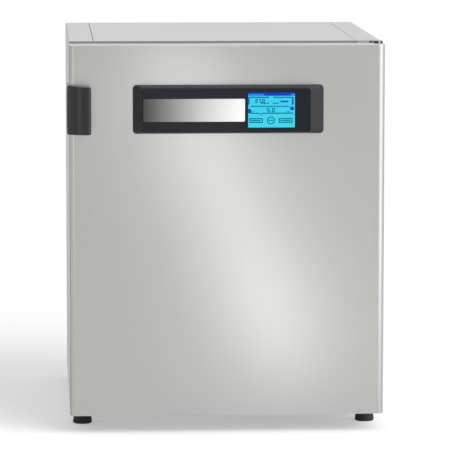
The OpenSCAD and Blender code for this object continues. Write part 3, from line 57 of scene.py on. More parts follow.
above = -level_ahead * math.sin(pitch) + Vector((0, 0, math.cos(pitch)))
right = level_right * math.cos(roll) + above * math.sin(roll)
up = -level_right * math.sin(roll) + above * math.cos(roll)
turn = Matrix((right, up, -ahead)).transposed().to_4x4()
camera.matrix_world = Matrix.Translation(camera_place) @ turn

# Studio
# A pale floor under a white sky, with a broad sun from the right and soft lamps, as in a catalogue
# photograph. The floor fills the whole of the camera's picture.
floor_radius = 60
key_direction = Vector((-4.0, 3.6, -4.0))
scene.view_settings.view_transform = "Standard"
sky = bpy.data.worlds.new("sky")
sky.use_nodes = True
sky.node_tree.nodes["Background"].inputs["Color"].default_value = (1, 1, 1, 1)
sky.node_tree.nodes["Background"].inputs["Strength"].default_value = 0.745
scene.world = sky
floor_mesh = bmesh.new()
bmesh.ops.create_circle(floor_mesh, cap_ends=True, radius=floor_radius, segments=96)
floor_data = bpy.data.meshes.new("studio_floor")
floor_mesh.to_mesh(floor_data)
floor_mesh.free()
studio_floor = bpy.data.objects.new("studio_floor", floor_data)
scene.collection.objects.link(studio_floor)
floor_white = bpy.data.materials.new("floor_white")
floor_white.use_nodes = True
floor_sockets = floor_white.node_tree.nodes["Principled BSDF"].inputs
floor_sockets["Base Color"].default_value = (0.6, 0.6, 0.6, 1)
floor_sockets["Emission Color"].default_value = (1, 1, 1, 1)
floor_sockets["Emission Strength"].default_value = 0.3
floor_sockets["Roughness"].default_value = 0.9
floor_sockets["Specular IOR Level"].default_value = 0.1
floor_data.materials.append(floor_white)


def add_lamp(name, place, target, size, power, lean=0.0):
    """A soft rectangular lamp that faces a target, leaned about its own axis."""
    data = bpy.data.lights.new(name, "AREA")
    data.shape = "RECTANGLE"
    data.size, data.size_y = size
    data.energy = power
    lamp = bpy.data.objects.new(name, data)
    facing = (Vector(target) - Vector(place)).to_track_quat("-Z", "Y").to_matrix().to_4x4()
    lamp.matrix_world = Matrix.Translation(place) @ facing @ Matrix.Rotation(lean, 4, "Z")
    scene.collection.objects.link(lamp)


key_data = bpy.data.lights.new("key_lamp", "SUN")
key_data.angle = 0.95
key_data.energy = 2.25
key_lamp = bpy.data.objects.new("key_lamp", key_data)
key_lamp.rotation_euler = key_direction.to_track_quat("-Z", "Y").to_euler()
scene.collection.objects.link(key_lamp)
add_lamp("strip_lamp", (0.155, -1.54, 0.22), (0.155, 0, 0.22), (0.1, 1.45), 1.27, lean=0.38)
add_lamp("low_lamp", (0.19, -1.52, 0.13), (0.19, 0, 0.13), (0.12, 0.22), 0.06, lean=0.38)
add_lamp("right_lamp", (1.6, -1.6, 0.7), (0.3, -0.3, 0.5), (1.8, 1.8), 12.5)
add_lamp("side_lamp", (3.5, -0.4, 1.2), (0, -0.4, 1.0), (2.5, 2.0), 5)
add_lamp("left_lamp", (-1.75, -2.7, 0.9), (-0.38, -0.42, 0.6), (1.0, 1.6), 3.2)

# Cabinet sheets
# Folded stainless sheet with a fine brushed grain: the two side panels, the top panel between
# them, and plainer plates for the base, the rear and the electronics. Screws hold the rear one.
sheet_grey = (0.54, 0.54, 0.54)
sheet_roughness = 0.72
sheet_metallic = 0.15


class Wire:
    """A number in a shader. Arithmetic on it adds Math nodes."""

    def __init__(self, shader, socket):
        self.shader = shader
        self.socket = socket

    def calculate(self, operation, *values):
        node = self.shader.node("ShaderNodeMath", {"operation": operation}, *values)
        return Wire(self.shader, node.outputs[0])

    def __add__(self, other):
        return self.calculate("ADD", self, other)

    def __mul__(self, other):
        return self.calculate("MULTIPLY", self, other)

    def __sub__(self, other):
        return self.calculate("SUBTRACT", self, other)

    def __rsub__(self, other):
        return self.calculate("SUBTRACT", other, self)

    def __truediv__(self, other):
        return self.calculate("DIVIDE", self, other)

    def __rtruediv__(self, other):
        return self.calculate("DIVIDE", other, self)

    def __gt__(self, other):
        return self.calculate("GREATER_THAN", self, other)

    def __lt__(self, other):
        return self.calculate("LESS_THAN", self, other)

    def clamp(self):
        return self.calculate("MINIMUM", self.calculate("MAXIMUM", self, 0.0), 1.0)

    __radd__ = __add__
    __rmul__ = __mul__


class Shader:
    """A procedural material on the object's own coordinates."""

    def __init__(self, name, color, **fixed):
        self.material = bpy.data.materials.new(name)
        self.material.use_nodes = True
        self.tree = self.material.node_tree
        self.out = self.tree.nodes["Principled BSDF"]
        self.material.diffuse_color = (*color, 1)
        self.out.inputs["Base Color"].default_value = (*color, 1)
        for key, value in fixed.items():
            self.out.inputs[key.replace("_", " ")].default_value = value

    def node(self, kind, settings=None, *values, **named):
        """Adds a node with its settings, and with the values or links of its sockets."""
        made = self.tree.nodes.new(kind)
        for key, value in (settings or {}).items():
            setattr(made, key, value)
        for socket, value in zip(made.inputs, values):
            self.join(value, socket)
        for key, value in named.items():
            self.join(value, made.inputs[key.replace("_", " ")])
        return made

    def join(self, value, socket):
        if isinstance(value, Wire):
            value = value.socket
        if isinstance(value, bpy.types.NodeSocket):
            self.tree.links.new(value, socket)
        else:
            socket.default_value = value

    def place(self):
        return self.node("ShaderNodeTexCoord").outputs["Object"]

    def axis(self, letter):
        parts = self.node("ShaderNodeSeparateXYZ", None, self.place())
        return Wire(self, parts.outputs[letter])

    def noise(self, stretch, detail=3.0, roughness=0.6):
        spread = self.node("ShaderNodeVectorMath", {"operation": "MULTIPLY"}, self.place(), stretch)
        made = self.node(
            "ShaderNodeTexNoise", None, Vector=spread.outputs[0], Scale=1.0, Detail=detail,
            Roughness=roughness,
        )
        return Wire(self, made.outputs[0])

    def mix(self, factor, low, high):
        made = self.node("ShaderNodeMix", {"data_type": "RGBA"})
        self.join(factor, made.inputs["Factor"])
        for name, color in (("A", low), ("B", high)):
            target = [s for s in made.inputs if s.name == name and s.type == "RGBA"][0]
            self.join(color if isinstance(color, bpy.types.NodeSocket) else (*color, 1), target)
        return [s for s in made.outputs if s.type == "RGBA"][0]

    def drive(self, name, value):
        self.join(value, self.out.inputs[name])

    def bump(self, height, strength, distance=0.0005):
        made = self.node(
            "ShaderNodeBump", None, Strength=strength, Distance=distance, Height=height.socket
        )
        self.join(made.outputs[0], self.out.inputs["Normal"])


def brushed_steel(name, color, grain, roughness=0.36, depth=0.05, metallic=1.0):
    """Steel with a long fine grain: the larger numbers of grain run across it."""
    steel = Shader(name, color, Metallic=metallic)
    line = steel.noise(grain, 4.0, 0.65)
    cloud = steel.noise((2.3, 2.3, 2.3), 2.0)
    dark = [part * 0.93 for part in color]
    light = [min(part * 1.06, 1) for part in color]
    steel.drive("Base Color", steel.mix((line * 0.6 + cloud * 0.4).clamp(), dark, light))
    steel.drive("Roughness", line * 0.1 + (roughness - 0.05))
    steel.bump(line, depth, 0.0002)
    return steel.material


def dress(material, *names):
    """Gives CAD nodes their material."""
    for name in names:
        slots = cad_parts[name].data.materials
        slots.clear()
        slots.append(material)


side_steel = brushed_steel(
    "side_steel", sheet_grey, (30, 2, 900), sheet_roughness, metallic=sheet_metallic
)
top_steel = brushed_steel(
    "top_steel", sheet_grey, (2, 700, 30), sheet_roughness, metallic=sheet_metallic
)
plain_steel = brushed_steel("plain_steel", (0.59, 0.59, 0.59), (700, 30, 2), 0.5, metallic=0.6)
dress(side_steel, "left_side_panel", "right_side_panel")
dress(top_steel, "top_panel")
dress(plain_steel, "base_plate", "rear_panel", "electronics_tray")

# Top seams
# A near-black fill lies at the bottom of the two seams between the top panel and the folds of the side
# panels. It is a painted shade in the seams.
seam_width = 0.0016
seam_shade_depth = 0.00105
seam_shade_front, seam_shade_rear = 0.0004, 0.0014
# near-black fill, a painted shade at the bottom of each seam
seam_shade = Shader("seam_shade_black", (0.01, 0.01, 0.01), Roughness=0.8)
seam_shade.bump(seam_shade.noise((400, 60, 400), 2.0), 0.3)
top_low, top_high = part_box("top_panel")


def add_box(mesh, low, high):
    """A closed box between two corners."""
    made = bmesh.ops.create_cube(mesh, size=1.0)
    size = Vector(high) - Vector(low)
    centre = (Vector(high) + Vector(low)) / 2
    bmesh.ops.scale(mesh, vec=size, verts=made["verts"])
    bmesh.ops.translate(mesh, vec=centre, verts=made["verts"])
    return made["verts"]


def finish_piece(name, mesh, material, body):
    """Makes a mesh a piece of the model, which rides on a body."""
    data = bpy.data.meshes.new(name)
    bmesh.ops.recalc_face_normals(mesh, faces=mesh.faces)
    mesh.to_mesh(data)
    mesh.free()
    data.materials.append(material)
    piece = bpy.data.objects.new(name, data)
    scene.collection.objects.link(piece)
    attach(piece, body)


seams = bmesh.new()
for seam_x in (top_low.x - seam_width, top_high.x):
    add_box(
        seams,
        (seam_x, top_low.y + seam_shade_front, top_low.z),
        (seam_x + seam_width, top_high.y - seam_shade_rear, top_high.z - seam_shade_depth),
    )
finish_piece("top_seam_shade", seams, seam_shade.material, "cabinet")

# Front frame and chamber
# Deep-drawn bright stainless steel, polished to a soft sheen: the frame with its rebate, the
# round-cornered liner, the two air ducts, the shelves with what carries them, the water tray.
chamber_steel = brushed_steel("chamber_steel", (0.7, 0.71, 0.72), (2, 30, 700), 0.26, 0.03)
frame_steel = brushed_steel("frame_steel", (0.62, 0.63, 0.64), (2, 30, 700), 0.34, 0.04)
dress(frame_steel, "front_frame")
dress(
    chamber_steel, "chamber_liner", "rear_air_duct", "top_air_duct", "shelf_uprights",
    "shelf_brackets", "water_tray", "water_tray_cover", "lower_shelf", "middle_shelf", "upper_shelf",
)

# Edge strip
# A thin grey strip, glued round the outer edge of the cabinet's front. It is a dark sheet put where the
# gap over the door lies in shade, a painted shade that shows as the dark line over the door.
strip_inset, strip_width, strip_proud = 0.0003, 0.0054, 0.0006
strip_corner = 0.0047
glue_gap = 0.00002
# a dark grey that stands in for the shade in the gap round the door
gap_shade_grey = Shader("gap_shade_grey", (0.2, 0.2, 0.2), Roughness=0.6)
gap_shade_grey.bump(gap_shade_grey.noise((900, 900, 900), 2.0), 0.2)
shell_low, shell_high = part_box("left_side_panel")


def runs_along(edge, axis):
    """Whether the ends of an edge lie apart along an axis."""
    first, last = (getattr(vertex.co, axis) for vertex in edge.verts)
    return abs(first - last) > 1e-4


def round_edges(mesh, edges, radius, segments=6):
    bmesh.ops.bevel(
        mesh, geom=edges, offset=radius, offset_type="OFFSET", affect="EDGES", segments=segments,
        profile=0.5, material=-1,
    )


edge_strip = bmesh.new()
add_box(
    edge_strip,
    (shell_low.x + strip_inset, shell_low.y - strip_proud, shell_low.z + strip_inset),
    (-shell_low.x - strip_inset, shell_low.y - glue_gap, shell_high.z - strip_inset),
)
round_edges(edge_strip, [edge for edge in edge_strip.edges if runs_along(edge, "y")], strip_corner)
broad = [face for face in edge_strip.faces if abs(face.normal.y) > 0.9]
bmesh.ops.inset_individual(edge_strip, faces=broad, thickness=strip_width, depth=0)
inner = [edge for face in broad for edge in face.edges]
bmesh.ops.delete(edge_strip, geom=broad, context="FACES_ONLY")
bmesh.ops.bridge_loops(edge_strip, edges=inner)
finish_piece("front_edge_strip", edge_strip, gap_shade_grey.material, "cabinet")

# Insulation and heaters
# Boards of pressed mineral fibre with a loose surface fill the walls and the door. The heaters
# are mats of orange silicone rubber, laid on the outside of the liner.
board = Shader("mineral_board", (0.72, 0.66, 0.5), Roughness=0.95)
fibre = board.noise((180, 180, 180), 5.0, 0.75)
board.drive("Base Color", board.mix(fibre, (0.6, 0.54, 0.38), (0.82, 0.77, 0.62)))
board.bump(fibre, 0.5, 0.002)
dress(board.material, "insulation_boards", "door_insulation")
mat = Shader("heater_silicone", (0.55, 0.2, 0.06), Roughness=0.6)
weave = mat.noise((400, 400, 400), 2.0)
mat.drive("Base Color", mat.mix(weave, (0.48, 0.16, 0.05), (0.62, 0.25, 0.09)))
dress(mat.material, "wall_heaters")


# Plastics and rubbers
# Moulded black plastic with a fine spark-eroded grain, grey silicone seals and plugs, black rubber
# feet, white filter paper and the pale plastics of the blower.
def moulded(name, color, roughness, grain=900.0, depth=0.15, **fixed):
    """A moulded surface with the fine specks that a spark-eroded mould leaves."""
    skin = Shader(name, color, **fixed)
    speck = skin.noise((grain, grain, grain), 3.0, 0.7)
    dark = [part * 0.9 for part in color]
    light = [min(part * 1.1, 1) for part in color]
    skin.drive("Base Color", skin.mix(speck, dark, light))
    skin.drive("Roughness", speck * 0.12 + (roughness - 0.06))
    skin.bump(speck, depth, 0.0003)
    return skin.material


handle_black = moulded("handle_black", (0.005, 0.005, 0.005), 0.25, Specular_IOR_Level=0.42)
housing_black = moulded("housing_black", (0.009, 0.0095, 0.0085), 0.45, Specular_IOR_Level=0.36)
plain_black = moulded("plain_black", (0.025, 0.025, 0.027), 0.5)
silicone_grey = moulded("silicone_grey", (0.34, 0.36, 0.38), 0.55, 500.0)
foot_rubber = moulded("foot_rubber", (0.012, 0.012, 0.013), 0.6, Specular_IOR_Level=0.3)
dress(handle_black, "door_handle")
dress(housing_black, "control_housing")
dress(
    plain_black, "power_entry", "signal_sockets", "switch_rocker", "door_hinge_bushes",
    "glass_door_pull", "magnet_catch",
)
dress(silicone_grey, "door_gasket", "glass_door_seal", "port_plug")
dress(foot_rubber, "foot_front_left", "foot_front_right", "foot_rear_left", "foot_rear_right")
dress(moulded("filter_paper", (0.85, 0.85, 0.82), 0.85, 300.0), "intake_filter")
dress(moulded("blower_plastic", (0.78, 0.78, 0.75), 0.5), "blower_wheel", "shaft_seal")
dress(moulded("port_plastic", (0.42, 0.44, 0.46), 0.5), "access_port_sleeve", "sensor_block")
dress(moulded("clear_tube", (0.72, 0.75, 0.73), 0.3, Coat_Weight=0.3), "gas_line")

# Metal fittings
# Pressed hinges of darker steel, zinc-plated nuts and the power supply's case, a turned shaft,
# brass gas fittings, and the cast bodies of the motor and the valve.
hinge_steel = brushed_steel("hinge_steel", (0.4, 0.41, 0.42), (60, 60, 600), 0.35)
zinc_steel = brushed_steel("zinc_steel", (0.55, 0.56, 0.58), (300, 300, 60), 0.32)
brass = brushed_steel("brass", (0.62, 0.44, 0.2), (300, 60, 300), 0.3)
cast_grey = brushed_steel("cast_grey", (0.16, 0.165, 0.175), (90, 90, 90), 0.5, 0.2)
dress(hinge_steel, "door_hinge_brackets", "glass_hinge_brackets", "glass_hinge_clamps")
dress(zinc_steel, "foot_lock_nuts", "blower_shaft", "power_supply")
dress(brass, "gas_inlet", "pressure_vent")
dress(cast_grey, "blower_motor", "solenoid_valve")

# Circuit boards
# Green laminate with fine copper tracks under its lacquer: the main board over the chamber, and
# the control board in the bar on the door.
laminate = Shader("laminate", (0.02, 0.16, 0.07), Roughness=0.35)
tracks = laminate.noise((260, 260, 260), 1.0)
on_track = (tracks > 0.56) * 0.7
laminate.drive("Base Color", laminate.mix(on_track, (0.015, 0.13, 0.055), (0.05, 0.28, 0.12)))
dress(laminate.material, "main_board", "control_board")

# Outer door
# A pan of brushed stainless steel with large round upright edges, and a flat inner panel behind
# it. The pan's grain runs up and down, and the panel's runs from side to side.
# the depth of the painted highlight along the door's top edge, then the size of the painted shade along
# its left edge
top_highlight_depth = 0.0005
turn_width, turn_blend, turn_depth = 0.0032, 0.0014, 0.02
door_low, door_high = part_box("door_skin")
door_steel = Shader("door_steel", (0.45, 0.45, 0.442), Metallic=1.0)
line = door_steel.noise((700, 700, 3), 4.0, 0.65)
cloud = door_steel.noise((2.3, 2.3, 2.3), 2.0)
brushing = (line * 0.6 + cloud * 0.4).clamp()
brushed = door_steel.mix(brushing, (0.402, 0.402, 0.395), (0.456, 0.456, 0.448))
# the top edge has a painted highlight, and the left edge a painted shade where the front turns back
top_highlight = door_steel.axis("Z") > door_high.z - top_highlight_depth
left_edge_shade = ((door_low.x + turn_width - door_steel.axis("X")) / turn_blend).clamp()
left_edge_shade = left_edge_shade * (door_steel.axis("Y") < door_low.y + turn_depth) * 0.45
lit = door_steel.mix(top_highlight, brushed, (0.76, 0.76, 0.75))
door_steel.drive("Base Color", door_steel.mix(left_edge_shade, lit, (0.05, 0.05, 0.05)))
door_steel.drive("Roughness", line * 0.1 + 0.25)
door_steel.bump(line, 0.05, 0.0002)
inner_steel = brushed_steel("inner_steel", (0.66, 0.67, 0.68), (3, 700, 700), 0.32)
dress(door_steel.material, "door_skin")
dress(inner_steel, "door_inner_panel")

# Glass door
# A pane of toughened glass, a little green in its depth. It closes the chamber behind the outer
# door, and two clamps hold it on its hinges.
glass = Shader(
    "door_glass", (0.86, 0.95, 0.92), Roughness=0.03, IOR=1.5, Transmission_Weight=1.0, Alpha=0.45
)
dress(glass.material, "glass_pane")

# Control bar
# A smooth dark lens over the front of the bar, the lit display in its window, and a bare trim plate of
# brushed aluminium with a painted shade at its left and a painted highlight at its right.
lens = Shader("lens_dark", (0.002, 0.005, 0.01), Roughness=0.3, Specular_IOR_Level=0.2)
dress(lens.material, "control_lens")
trim_low, trim_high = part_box("trim_plate")
trim = Shader("trim_aluminium", (0.8, 0.8, 0.8), Metallic=1.0)
# the plate's colour runs from a painted shade at its left to a painted highlight at its right
along = ((trim.axis("X") - trim_low.x) / (trim_high.x - trim_low.x)).clamp()
streak = trim.noise((4, 60, 900), 3.0)
shade_to_highlight = along * along * 0.45 + along * 0.55
shade = (shade_to_highlight + (streak - 0.5) * 0.1).clamp()
trim.drive("Base Color", trim.mix(shade, (0.06, 0.06, 0.06), (0.75, 0.75, 0.75)))
trim.drive("Roughness", streak * 0.15 + 0.22)
dress(trim.material, "trim_plate")
display_low, display_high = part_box("display_module")
glow = Shader(
    "display_glow", (0.05, 0.55, 0.85), Roughness=0.3, Emission_Strength=0.72,
    Specular_IOR_Level=0.1,
)
shine = ((glow.axis("Z") - display_low.z) / (display_high.z - display_low.z)).clamp()
glow.drive("Base Color", (0.01, 0.1, 0.16, 1))
glow.drive("Emission Color", glow.mix(shine, (0.05, 0.74, 0.86), (0.03, 0.64, 0.84)))
dress(glow.material, "display_module")

# Display picture
# Flat marks that stand a hair proud of the lit display: a title strip, thin lines, two generic
# readings, two key outlines and a round key. Their places are parts of the picture's width, from
# its left, and of its height, from below.
picture_margin = 0.005
mark_proud, block_proud = 0.0002, 0.0001
stroke = 0.017
bar_count = 5
key_radius, key_line = 0.0096, 0.0022
mark_back = display_low.y
mark_front = mark_back - mark_proud
picture_low = Vector((display_low.x + picture_margin, display_low.z + picture_margin))
picture_high = Vector((display_high.x - picture_margin, display_high.z - picture_margin))
picture_size = picture_high - picture_low
turn_to_front = Matrix.Rotation(math.pi / 2, 3, "X")


def add_mark(mesh, x0, z0, x1, z1, front=mark_front, back=mark_back):
    """A flat mark on the picture."""
    add_box(
        mesh,
        (picture_low.x + x0 * picture_size.x, front, picture_low.y + z0 * picture_size.y),
        (picture_low.x + x1 * picture_size.x, back, picture_low.y + z1 * picture_size.y),
    )


def add_bars(mesh, x0, z0, x1, z1, filled):
    """A row of upright bars, each of which fills a part of its share of the width."""
    step = (x1 - x0) / bar_count
    for number in range(bar_count):
        left = x0 + number * step
        add_mark(mesh, left, z0, left + step * filled, z1)


def add_key(mesh, x0, z0, x1, z1):
    """The outline of a key, with a short row of bars in it."""
    rail, post = 0.026, 0.02
    side_gap, foot_gap = 0.04, 0.045
    add_mark(mesh, x0, z0, x1, z0 + rail)
    add_mark(mesh, x0, z1 - rail, x1, z1)
    add_mark(mesh, x0, z0, x0 + post, z1)
    add_mark(mesh, x1 - post, z0, x1, z1)
    add_bars(mesh, x0 + side_gap, z0 + foot_gap, x1 - side_gap, z1 - foot_gap, 0.75)


def add_digit(mesh, bars, x, z, width, height):
    """One digit, made of the bars of a seven-bar figure that are lit."""
    middle = z + height / 2
    places = {
        "a": (x, z + height - stroke, x + width, z + height),
        "b": (x + width - stroke, middle, x + width, z + height),
        "c": (x + width - stroke, z, x + width, middle),
        "d": (x, z, x + width, z + stroke),
        "e": (x, z, x + stroke, middle),
        "f": (x, middle, x + stroke, z + height),
        "g": (x, middle - stroke / 2, x + width, middle + stroke / 2),
    }
    for bar in bars:
        add_mark(mesh, *places[bar])


def finish_marks(name, mesh, finish, color, strength):
    """Makes marks a piece, in a lit colour with a faint ripple."""
    ink = Shader(
        finish, (0.0, 0.01, 0.02), Roughness=0.4, Emission_Strength=strength,
        Specular_IOR_Level=0.1,
    )
    ripple = ink.noise((900, 900, 900), 1.0)
    ink.drive("Emission Color", ink.mix(ripple * 0.3, color, [part * 0.8 for part in color]))
    finish_piece(name, mesh, ink.material, "outer_door")


marks = bmesh.new()
for place in (
    (0.026, 0.85, 0.448, 0.876), (0.538, 0.85, 0.946, 0.876), (0.056, 0.594, 0.87, 0.618),
    (0.056, 0.396, 0.24, 0.424), (0.295, 0.396, 0.961, 0.424), (0.24, 0.37, 0.295, 0.396),
):
    add_mark(marks, *place)
# the upper reading is 37.0 and the lower one 5.0, each with its point
for x, bars in ((0.146, "abcdg"), (0.214, "abc"), (0.3, "abcdef")):
    add_digit(marks, bars, x, 0.712, 0.052, 0.108)
add_mark(marks, 0.276, 0.712, 0.29, 0.731)
for x, bars in ((0.403, "acdfg"), (0.51, "abcdef")):
    add_digit(marks, bars, x, 0.443, 0.058, 0.112)
add_mark(marks, 0.475, 0.443, 0.491, 0.463)
for first, last in ((0.267, 0.448), (0.523, 0.659)):
    add_bars(marks, first, 0.676, last, 0.712, 0.65)
# a minus sign at the left and a plus sign at the right
for x in (0.1, 0.855):
    add_mark(marks, x - 0.028, 0.444, x + 0.028, 0.458)
add_mark(marks, 0.848, 0.43, 0.862, 0.474)
add_key(marks, 0.026, 0.135, 0.312, 0.269)
add_key(marks, 0.653, 0.135, 0.946, 0.269)
# the round key is a ring with two small blocks in it
key_x = picture_low.x + 0.487 * picture_size.x
key_z = picture_low.y + 0.2 * picture_size.y
round_key = bmesh.ops.create_circle(marks, cap_ends=True, radius=key_radius, segments=48)
disc = list({face for vertex in round_key["verts"] for face in vertex.link_faces})
bmesh.ops.rotate(marks, cent=(0, 0, 0), matrix=turn_to_front, verts=round_key["verts"])
bmesh.ops.translate(marks, vec=(key_x, mark_back, key_z), verts=round_key["verts"])
ring = bmesh.ops.inset_region(marks, faces=disc, use_boundary=True, thickness=key_line, depth=0)
bmesh.ops.delete(marks, geom=disc, context="FACES_ONLY")
raised = bmesh.ops.extrude_face_region(marks, geom=ring["faces"])["geom"]
raised_corners = [part for part in raised if isinstance(part, bmesh.types.BMVert)]
bmesh.ops.translate(marks, vec=(0, -mark_proud, 0), verts=raised_corners)
for x0, x1 in ((0.445, 0.478), (0.496, 0.529)):
    add_mark(marks, x0, 0.18, x1, 0.222)
finish_marks("display_marks", marks, "display_ink", (0.0, 0.12, 0.2), 0.8)

title = bmesh.new()
add_mark(title, 0.0, 0.897, 1.0, 1.0)
finish_marks("display_strip", title, "display_strip", (0.01, 0.3, 0.95), 0.9)

# two blocks lie on the title strip, and the others beside the readings
blocks = bmesh.new()
for place in ((0.0, 0.962, 1.0, 1.0), (0.342, 0.915, 0.916, 0.962)):
    add_mark(blocks, *place, front=mark_front - block_proud, back=mark_front)
for place in (
    (0.689, 0.723, 0.855, 0.764), (0.9, 0.5, 0.976, 0.593), (0.002, 0.411, 0.062, 0.532),
    (0.938, 0.654, 0.968, 0.865), (0.915, 0.654, 0.938, 0.676), (0.004, 0.654, 0.026, 0.865),
):
    add_mark(blocks, *place)
finish_marks("display_blocks", blocks, "display_block", (0.0, 0.045, 0.58), 0.8)

# Screws
# Pan-head screws of zinc-plated steel, with a round recess in the head. They hold the rear panel,
# the hinge brackets, the rear fittings, the glass door's fittings and the outer door's inner panel.
to_front, to_rear = (0, -1, 0), (0, 1, 0)


def add_screw(mesh, place, out, radius, height):
    """A domed head on a surface at place, standing out along the unit vector out."""
    start = Vector(place)
    out = Vector(out)
    side = out.orthogonal().normalized()
    flat = radius * 0.45
    profile = ((radius, 0.0), (radius, height * 0.45), (radius * 0.82, height * 0.8), (flat, height))
    points = [mesh.verts.new(start + side * across + out * level) for across, level in profile]
    edges = [mesh.edges.new(pair) for pair in zip(points, points[1:])]
    bmesh.ops.spin(
        mesh, geom=points + edges, cent=start, axis=out, angle=2 * math.pi, steps=20, use_merge=True
    )
    rim = [
        vertex for vertex in mesh.verts
        if abs((vertex.co - start).dot(out) - height) < 1e-7
        and abs((vertex.co - start - out * height).length - flat) < 1e-6
    ]
    beside = side.cross(out)
    rim.sort(key=lambda v: math.atan2((v.co - start).dot(beside), (v.co - start).dot(side)))
    recess = mesh.faces.new(rim)
    bmesh.ops.inset_region(mesh, faces=[recess], thickness=radius * 0.12, depth=0)
    bmesh.ops.translate(mesh, vec=-out * height * 0.4, verts=recess.verts)


def add_screws(name, body, out, *groups):
    """A piece of screws. Each group has its heads' radius, their height and their places."""
    mesh = bmesh.new()
    for radius, height, places in groups:
        for place in places:
            add_screw(mesh, place, out, radius, height)
    finish_piece(name, mesh, zinc_steel, body)


# round the edge of the rear panel
rear_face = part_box("rear_panel")[1].y
rear_columns = (-0.372, -0.124, 0.124, 0.372)
rear_rows = (0.056, 0.28, 0.506, 0.73, 0.956)
rear_places = [
    (x, rear_face, z) for x in rear_columns for z in rear_rows
    if x in (rear_columns[0], rear_columns[-1]) or z in (rear_rows[0], rear_rows[-1])
]
add_screws("rear_panel_screws", "cabinet", to_rear, (0.0042, 0.0024, rear_places))

# two in the leg of each hinge bracket
leg_thickness, leg_margin = 0.003, 0.008
leg_columns = (0.34, 0.356)
plate_low, plate_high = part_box("door_hinge_brackets")
leg_places = [
    (x, plate_high.y - leg_thickness, z)
    for z in (plate_high.z - leg_margin, plate_low.z + leg_margin)
    for x in leg_columns
]
add_screws("hinge_bracket_screws", "cabinet", to_front, (0.0036, 0.0018, leg_places))

# two beside the power inlet and one between the data sockets
power_reach = 0.0252
power_low, power_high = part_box("power_entry")
power_middle = (power_low + power_high) / 2
power_places = [
    (power_middle.x + reach, power_high.y, power_middle.z) for reach in (-power_reach, power_reach)
]
socket_low, socket_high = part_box("signal_sockets")
socket_middle = (socket_low + socket_high) / 2
socket_places = [(socket_middle.x, socket_high.y, socket_middle.z)]
add_screws(
    "rear_fitting_screws", "cabinet", to_rear,
    (0.0027, 0.0014, power_places), (0.0022, 0.0012, socket_places),
)

# two in each clamp of the glass door and two in its pull
clamp_middle, clamp_pitch, clamp_side = 0.025, 0.009, 0.009
pull_side, pull_end = 0.009, 0.006
clamp_low, clamp_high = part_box("glass_hinge_clamps")
clamp_places = [
    (clamp_low.x + clamp_side, clamp_low.y, middle + offset)
    for middle in (clamp_low.z + clamp_middle, clamp_high.z - clamp_middle)
    for offset in (-clamp_pitch, clamp_pitch)
]
pull_low, pull_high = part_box("glass_door_pull")
pull_places = [
    (pull_low.x + pull_side, pull_low.y, z) for z in (pull_low.z + pull_end, pull_high.z - pull_end)
]
add_screws(
    "glass_door_screws", "glass_door", to_front,
    (0.0028, 0.0014, clamp_places), (0.0024, 0.0009, pull_places),
)

# round the outer door's inner panel, outside its gasket
panel_columns = (-0.32, -0.16, 0, 0.16, 0.31)
panel_rows = (0.09, 0.29, 0.505, 0.72, 0.92)
panel_low, panel_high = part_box("door_inner_panel")
margin = (panel_high.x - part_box("door_gasket")[1].x) / 2
panel_places = [
    (x, panel_high.y, z)
    for x in (panel_low.x + margin, panel_high.x - margin)
    for z in panel_rows
]
panel_places += [
    (x, panel_high.y, z)
    for z in (panel_low.z + margin, panel_high.z - margin)
    for x in panel_columns
]
add_screws("door_panel_screws", "outer_door", to_rear, (0.0028, 0.0012, panel_places))

# Hinge covers
# A moulded black cover over each hinge plate, with the bright end of the pin at its front, and one
# black cap on the upper bracket's leg. The upper ones show at the door's upper right corner.
cover_left, cover_right = 0.3701, 0.3897
cover_front, cover_back = -0.3711, -0.3435
cover_wall, door_gap = 0.00045, 0.0004
left_radius, right_radius = 0.0013, 0.0028
pin_x, pin_y, pin_radius = 0.381, -0.3702, 0.0028
cap_place = (0.3625, -0.3445, 0.9661)
cap_foot, cap_tip, cap_height = 0.0034, 0.003, 0.003
cover_middle = (cover_left + cover_right) / 2
upper_levels = (door_high.z + door_gap, plate_high.z + cover_wall)
lower_levels = (plate_low.z - cover_wall, door_low.z - door_gap)
covers = bmesh.new()
pin_ends = bmesh.new()
for low, high in (upper_levels, lower_levels):
    cover = add_box(covers, (cover_left, cover_front, low), (cover_right, cover_back, high))
    front_edges = [
        edge for edge in covers.edges
        if runs_along(edge, "z") and all(v in cover and v.co.y < cover_front + 1e-4 for v in edge.verts)
    ]
    left_edge = [edge for edge in front_edges if edge.verts[0].co.x < cover_middle]
    right_edge = [edge for edge in front_edges if edge.verts[0].co.x > cover_middle]
    round_edges(covers, left_edge, left_radius, 4)
    round_edges(covers, right_edge, right_radius, 5)
    pin = bmesh.ops.create_cone(
        pin_ends, cap_ends=True, segments=32, radius1=pin_radius, radius2=pin_radius, depth=high - low
    )
    bmesh.ops.translate(pin_ends, vec=(pin_x, pin_y, (low + high) / 2), verts=pin["verts"])
cap = bmesh.ops.create_cone(
    covers, cap_ends=True, segments=32, radius1=cap_foot, radius2=cap_tip, depth=cap_height
)
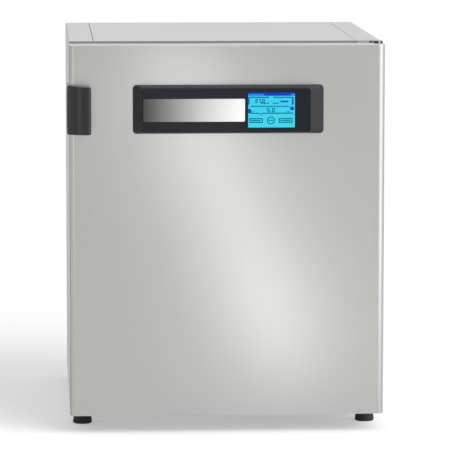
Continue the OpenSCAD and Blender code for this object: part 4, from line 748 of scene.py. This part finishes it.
bmesh.ops.rotate(covers, cent=(0, 0, 0), matrix=turn_to_front, verts=cap["verts"])
bmesh.ops.translate(covers, vec=cap_place, verts=cap["verts"])
finish_piece("hinge_covers", covers, handle_black, "cabinet")
finish_piece("hinge_pin_ends", pin_ends, zinc_steel, "cabinet")

# Duct nuts
# Knurled thumb nuts of bright steel that hold the two ducts. They come off by hand, so that the
# ducts can be washed.
nut_radius, nut_height = 0.008, 0.009
nut_columns = (-0.19, 0.19)
duct_low, duct_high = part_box("rear_air_duct")
nut_levels = (duct_low.z + 0.055, duct_high.z - 0.05)
deck_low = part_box("top_air_duct")[0]
nut_depths = (deck_low.y + 0.04, duct_low.y - 0.05)


def add_thumb_nut(mesh, place, out):
    """A nut with a knurled rim and a step at its foot, standing out along the unit vector out."""
    collar_radius, collar_height = nut_radius * 0.62, nut_height * 0.35
    head_height = nut_height - collar_height
    collar = bmesh.ops.create_cone(
        mesh, cap_ends=True, segments=36, radius1=collar_radius, radius2=collar_radius,
        depth=collar_height,
    )
    bmesh.ops.translate(mesh, vec=(0, 0, collar_height / 2), verts=collar["verts"])
    head = bmesh.ops.create_cone(
        mesh, cap_ends=True, segments=36, radius1=nut_radius, radius2=nut_radius, depth=head_height
    )
    for vertex in head["verts"]:
        place_on_rim = round(math.atan2(vertex.co.y, vertex.co.x) / (math.pi / 18))
        vertex.co.xy *= 1.0 if place_on_rim % 2 else 0.93
    bmesh.ops.translate(mesh, vec=(0, 0, collar_height + head_height / 2), verts=head["verts"])
    both = collar["verts"] + head["verts"]
    facing = Vector((0, 0, 1)).rotation_difference(Vector(out)).to_matrix()
    bmesh.ops.rotate(mesh, cent=(0, 0, 0), matrix=facing, verts=both)
    bmesh.ops.translate(mesh, vec=place, verts=both)


nuts = bmesh.new()
for x in nut_columns:
    for z in nut_levels:
        add_thumb_nut(nuts, (x, duct_low.y, z), to_front)
    for y in nut_depths:
        add_thumb_nut(nuts, (x, y, deck_low.z), (0, 0, -1))
finish_piece("duct_thumb_nuts", nuts, chamber_steel, "cabinet")
